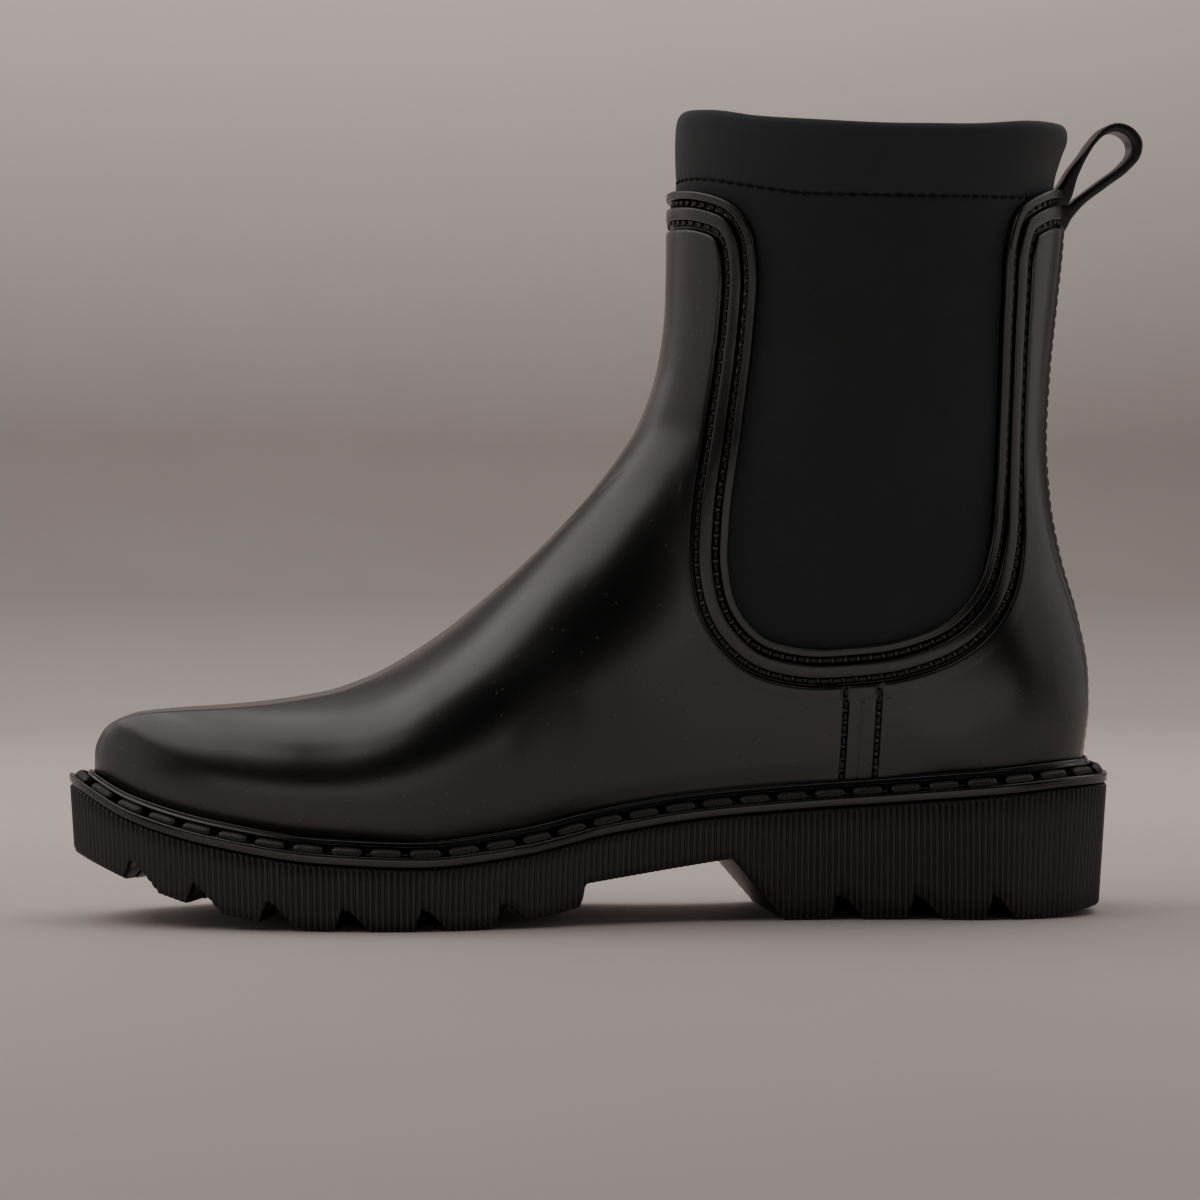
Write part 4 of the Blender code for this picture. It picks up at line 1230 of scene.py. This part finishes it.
# running surface of the forefoot: flat under the ball, arcs behind and before it
def tread(along):
    behind = np.maximum(outsole["flat"][0] - along, 0.0)
    before = np.maximum(along - outsole["flat"][1], 0.0)
    rear, toe = outsole["rockers"]
    return rear - np.sqrt(rear**2 - behind**2) + toe - np.sqrt(toe**2 - before**2)


# bottom of the sole without its notches: heel, breast, waist, forefoot
def plainBottom(along):
    bevel, bevelRise = outsole["heelBevel"]
    beyond = outsole["beyond"]
    rows = [(-beyond, bevelRise * (1 + beyond / bevel)), (bevel, 0.0), (outsole["heelFront"], 0.0)]
    rows += [outsole["breastTop"], outsole["waistFront"]]
    forefoot = np.linspace(outsole["forefootBack"], last["length"] + beyond, 80)
    return np.interp(along, *columns(rows + list(zip(forefoot, tread(forefoot)))))


# depth of the notches at a distance along the outer side: one profile at each notch, added up
def notchDepth(along):
    profile = columns(outsole["notch"])
    total = 0.0
    for sides, depth in zip((outsole["heelNotches"], outsole["toeNotches"]), outsole["notchDepths"]):
        total = total + depth * sum(np.interp(side - along, *profile, 0.0, 0.0) for side in sides)
    return total


# how obliquely the notches run: not at all in the heel, eased to the full skew in the forefoot
def skewAt(along):
    most, start, end = outsole["skew"]
    return most * ease(along, start, end)


# where along the outer side a notch through this point starts
def notchStart(along, out):
    start = along
    for _ in range(6):
        start = along + skewAt(start) * (soleHalf(start, 1) - out)
    return start


wallLength = travel(soleLine(4000)[0])[-1]
ribCount = int(round(wallLength / outsole["ribPitch"]))
wallColumns = ribCount * outsole["pointsPerRib"]
wallAt, wallOut = soleLine(wallColumns)
ribPhase = (np.arange(wallColumns) % outsole["pointsPerRib"]) / outsole["pointsPerRib"]
ribIn = outsole["ribDepth"] * (1 - np.abs(np.sin(np.pi * ribPhase)) ** outsole["ribPower"])
notchFrom = notchStart(*wallAt.T)
notches = notchDepth(notchFrom)
topUp = ribTop(wallAt[:, 0])
lowUp = plainBottom(wallAt[:, 0]) + notches
wallTop = topUp - outsole["topRound"][-1][0]
wallFoot = lowUp + outsole["edgeRound"]
wallRows = [(topUp, outsole["topInset"], share) for share in outsole["topShares"]]
wallRows += [(topUp - down, more + ribIn, 1.0) for down, more in outsole["topRound"]]
wallRows += [(wallTop + (wallFoot - wallTop) * share, ribIn, 1.0) for share in outsole["wallShares"]]
wallRows += [(lowUp, ribIn + outsole["edgeRound"], share) for share in outsole["treadShares"]]
soleRows = []
for up, inset, share in wallRows:
    moved = wallAt + wallOut * ((up - topUp) * outsole["draft"] - inset)[:, None]
    soleRows.append(joined(moved[:, 0], moved[:, 1] * share, up))
soleGrid = np.array(soleRows)
topCount, treadCount = len(outsole["topShares"]), len(outsole["treadShares"])
treadRows = soleGrid[1 - treadCount:]
treadRows[..., 0] -= skewAt(notchFrom) * (soleGrid[-treadCount, :, 1] - treadRows[..., 1])
treadRows[..., 2] = plainBottom(treadRows[..., 0]) + notches
soleAway = np.zeros_like(soleGrid)
soleAway[topCount:-treadCount, :, :2] = wallOut
soleAway[:topCount, :, 2] = 1.0
soleAway[-treadCount:, :, 2] = -1.0
solePiece = gridObject("soleBody", soleGrid, (False, True), soleRubber, soleAway)
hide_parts("outsole")
print("outsole made with", ribCount, "ribs")


# Pull loop: a strap with round edges along a teardrop

loop = {
    "outer": (  # along, up: from the root's top round to its foot
        (15.0, 195.0), (12.2, 197.2), (9.4, 201.5), (6.0, 205.9), (3.0, 210.0), (-0.2, 213.4),
        (-4.4, 214.9), (-8.6, 213.5), (-11.2, 209.8), (-10.6, 205.6), (-7.6, 202.0), (-0.9, 196.9),
        (5.6, 191.9), (8.6, 188.4), (10.8, 184.6), (15.0, 181.6),
    ),
    "eye": (  # along, up: the hole, beside each point of the outer line
        (13.6, 189.6), (10.0, 192.0), (6.7, 200.4), (4.4, 205.2), (2.0, 208.9), (-0.6, 211.3),
        (-3.6, 212.3), (-6.6, 211.1), (-8.0, 208.7), (-7.6, 206.2), (-5.9, 204.0), (0.4, 199.2),
        (6.6, 194.6), (9.8, 192.4), (12.0, 193.6), (14.6, 194.6),
    ),
    "wide": 8.6,
    "corners": (0.45, 0.25),  # powers of the section's thickness and breadth
    "sides": 40,
}


# a signed power, which squares up a round section
def squared(values, power):
    return np.sign(values) * np.abs(values) ** power


outerLine = curveThrough(loop["outer"], 8)
eyeLine = curveThrough(loop["eye"], 8)
corner = fullTurn(loop["sides"])
thickPower, widePower = loop["corners"]
thickness = squared(np.sin(corner), thickPower)[None, :, None] / 2
breadth = squared(np.cos(corner), widePower)[None, :] * loop["wide"] / 2
strand = (outerLine + eyeLine)[:, None] / 2 + (outerLine - eyeLine)[:, None] * thickness
loopGrid = joined(strand[..., 0], breadth, strand[..., 1])
loopAway = loopGrid - loopGrid.mean(axis=1, keepdims=True)
loopPiece = gridObject("pullStrap", loopGrid, (False, True), loopRubber, loopAway)
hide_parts("pull_loop")


# Insole: foot bed inside the shell

insole = {
    "thickness": 4.0,
    "wall": 2.2,  # of the shell round it
    "clear": 1.3,
    "gap": 0.3,
    "stations": 90,
    "across": 30,
    "corner": 0.35,  # power of its section
    "rim": (0.8, 3),  # rise, power
}

bedInset = last["weltReach"] + insole["wall"] + insole["clear"]
bedSides = {sign: insetSquares(bedInset, sign) for sign in (1, -1)}
bedBack, bedFront = bedSides[1][0][[0, -1]]
bedShare = (1 - np.cos(np.linspace(0, np.pi, insole["stations"] + 2)))[1:-1] / 2
bedAlong = (bedBack + (bedFront - bedBack) * bedShare)[:, None]
ringTurn = fullTurn(2 * insole["across"])[None, :]
outShare = squared(np.cos(ringTurn), insole["corner"])
upShare = (1 + squared(np.sin(ringTurn), insole["corner"])) / 2
bedHalves = (np.sqrt(np.interp(bedAlong, *bedSides[sign])) for sign in (1, -1))
bedOut = np.where(outShare > 0, *bedHalves) * outShare
rimRise, rimPower = insole["rim"]
bedThick = insole["thickness"] * upShare + rimRise * upShare * np.abs(outShare) ** rimPower
bedGrid = joined(bedAlong, bedOut, ribTop(bedAlong) + insole["gap"] + bedThick)
bedAway = bedGrid - bedGrid.mean(axis=1, keepdims=True)
bedPiece = gridObject("footBed", bedGrid, (False, True), bedFelt, bedAway)
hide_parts("insole")
print("loop and insole made")


# Studio: a pale sweep with light and shade painted on it in bands, soft light from above and the camera

studio = {
    "floorFront": -3.0,  # metres
    "floorBack": 1.1,  # the floor is flat to here, then curves up
    "sweepRadius": 0.9,
    "wallTop": 3.0,
    "sweepWidth": 7.0,
    "paper": (0.88, 0.79, 0.76),
    "paperShader": {"Roughness": 0.7, "Specular IOR Level": 0.25},
    "fleck": (14.0, 4.0, 0.6),  # scale, detail, roughness
    "fleckTone": 0.03,
    "paperRough": (0.66, 0.1),  # middle, spread
    "paintedLightTones": (  # painted light and shade: share of the way from the floor in front to the upper wall, share of the paper's colour
        (0.0, 0.74), (1.0, 0.2), (0.066, 0.94), (0.09, 0.81), (0.126, 0.57), (0.205, 0.33),
        (0.298, 0.28), (0.384, 0.39), (0.503, 0.54), (0.66, 0.77), (0.82, 0.4),
    ),
    "paintedLightWay": (0.1, 0.05, 1.3),  # the way the painted light and shade runs: (height + this share of the distance back + start) / whole
    "lightColour": (1.0, 0.94, 0.91),
    "spread": {"wall": 140.0},  # degrees, where it isn't the full 180
    "ambient": ((0.30, 0.285, 0.27, 1.0), 0.06),  # colour, strength
    "image": 1200,  # pixels
    "focal": 3774,  # pixels
    "sensor": 36,
    "horizon": 556,  # row of the photograph
    "cameraAt": (262.4, 1011.7, 96.2),  # boot millimetres
    "yaw": -7.0,
}

bend = np.linspace(0, np.pi / 2, 40)
floorBack, radius = studio["floorBack"], studio["sweepRadius"]
curve = joined(floorBack + radius * np.sin(bend), radius * (1 - np.cos(bend)))
sweepLine = np.concatenate([
    [[studio["floorFront"], 0.0]], curve, [[floorBack + radius, studio["wallTop"]]],
])
sweepAcross = np.linspace(-studio["sweepWidth"] / 2, studio["sweepWidth"] / 2, 3)
paper = bpy.data.meshes.new("sweep")
paperPoints = joined(sweepAcross, sweepLine[:, :1], sweepLine[:, 1:]).reshape(-1, 3)
paper.from_pydata(paperPoints.tolist(), [], gridFaces(len(sweepLine), 3, (False, False)).tolist())
paper.shade_smooth()
floor = bpy.data.objects.new("floor", paper)
bpy.context.scene.collection.objects.link(floor)
paperLook, wire, shader, place = startMaterial("paper", studio["paperShader"])
fleck = noise(wire, place, *studio["fleck"])
# painted light and shade: the paper's colour is darkened and lightened in bands along this way, with random
# flecks over them
back, high = (wire.node("ShaderNodeSeparateXYZ", None, {"Vector": place}, k) for k in (1, 2))
backShare, start, whole = studio["paintedLightWay"]
way = (high + back * backShare + start) / whole
ramp = wire.node("ShaderNodeValToRGB", {"stops": studio["paintedLightTones"]}, {"Fac": way})
paintedLightAndFleck = wire.node("ShaderNodeSeparateColor", None, {"Color": ramp}) + (fleck - 0.5) * studio["fleckTone"]
paperWithPaintedLight = blendColours(wire, paintedLightAndFleck, grey(0.0), grey(1.0, studio["paper"]))
middle, spread = studio["paperRough"]
connect(wire, shader, paperWithPaintedLight, middle + (fleck - 0.5) * spread)
paper.materials.append(paperLook)

lights = (  # name, place, aim, size, watts
    ("top", (-0.27, 0.26, 1.1), (-0.27, 0.2, 0.0), (0.56, 0.87), 1.68),
    ("topBack", (-0.27, 1.0, 1.1), (-0.27, 0.95, 0.0), (0.56, 0.6), 0.42),
    ("topRight", (0.65, 0.35, 1.1), (0.4, 0.2, 0.0), (1.3, 1.4), 5.8),
    ("leftHigh", (-0.8, 0.125, 0.96), (-0.33, 0.125, 0.08), (1.45, 0.68), 3.8),
    ("leftLow", (-1.4, 0.5, 0.42), (0.0, 0.3, 0.25), (2.2, 0.84), 2.4),
    ("leftBack", (-1.3, 1.3, 1.0), (0.0, 0.1, 0.2), (1.0, 0.8), 1.2),
    ("right", (1.5, -0.05, 0.55), (0.0, 0.0, 0.2), (2.2, 1.2), 3.6),
    ("wall", (0.0, 0.9, 1.7), (0.0, 1.95, 0.75), (2.4, 0.5), 15.0),
    ("bounce", (-0.1, -0.72, 0.01), (0.0, -0.35, 0.2), (1.6, 0.4), 1.2),
)
for name, at, aim, size, watts in lights:
    lamp = bpy.data.lights.new(name, "AREA")
    lamp.shape = "RECTANGLE"
    lamp.size, lamp.size_y = size
    lamp.energy = watts
    lamp.spread = np.radians(studio["spread"].get(name, 180.0))
    lamp.color = studio["lightColour"]
    holder = bpy.data.objects.new(name, lamp)
    holder.location = at
    holder.rotation_euler = (Vector(aim) - Vector(at)).to_track_quat("-Z", "Y").to_euler()
    bpy.context.scene.collection.objects.link(holder)

world = bpy.data.worlds.new("studio")
world.use_nodes = True
background = world.node_tree.nodes["Background"].inputs
background["Color"].default_value, background["Strength"].default_value = studio["ambient"]
bpy.context.scene.world = world

lens = bpy.data.cameras.new("camera")
lens.sensor_width = studio["sensor"]
lens.lens = studio["focal"] / studio["image"] * studio["sensor"]
lens.shift_y = -(studio["image"] / 2 - studio["horizon"]) / studio["image"]
camera = bpy.data.objects.new("camera", lens)
camera.location = placed(np.array(studio["cameraAt"]))
camera.rotation_euler = (np.pi / 2, 0.0, np.radians(studio["yaw"]))
bpy.context.scene.collection.objects.link(camera)
bpy.context.scene.camera = camera
print("studio set")
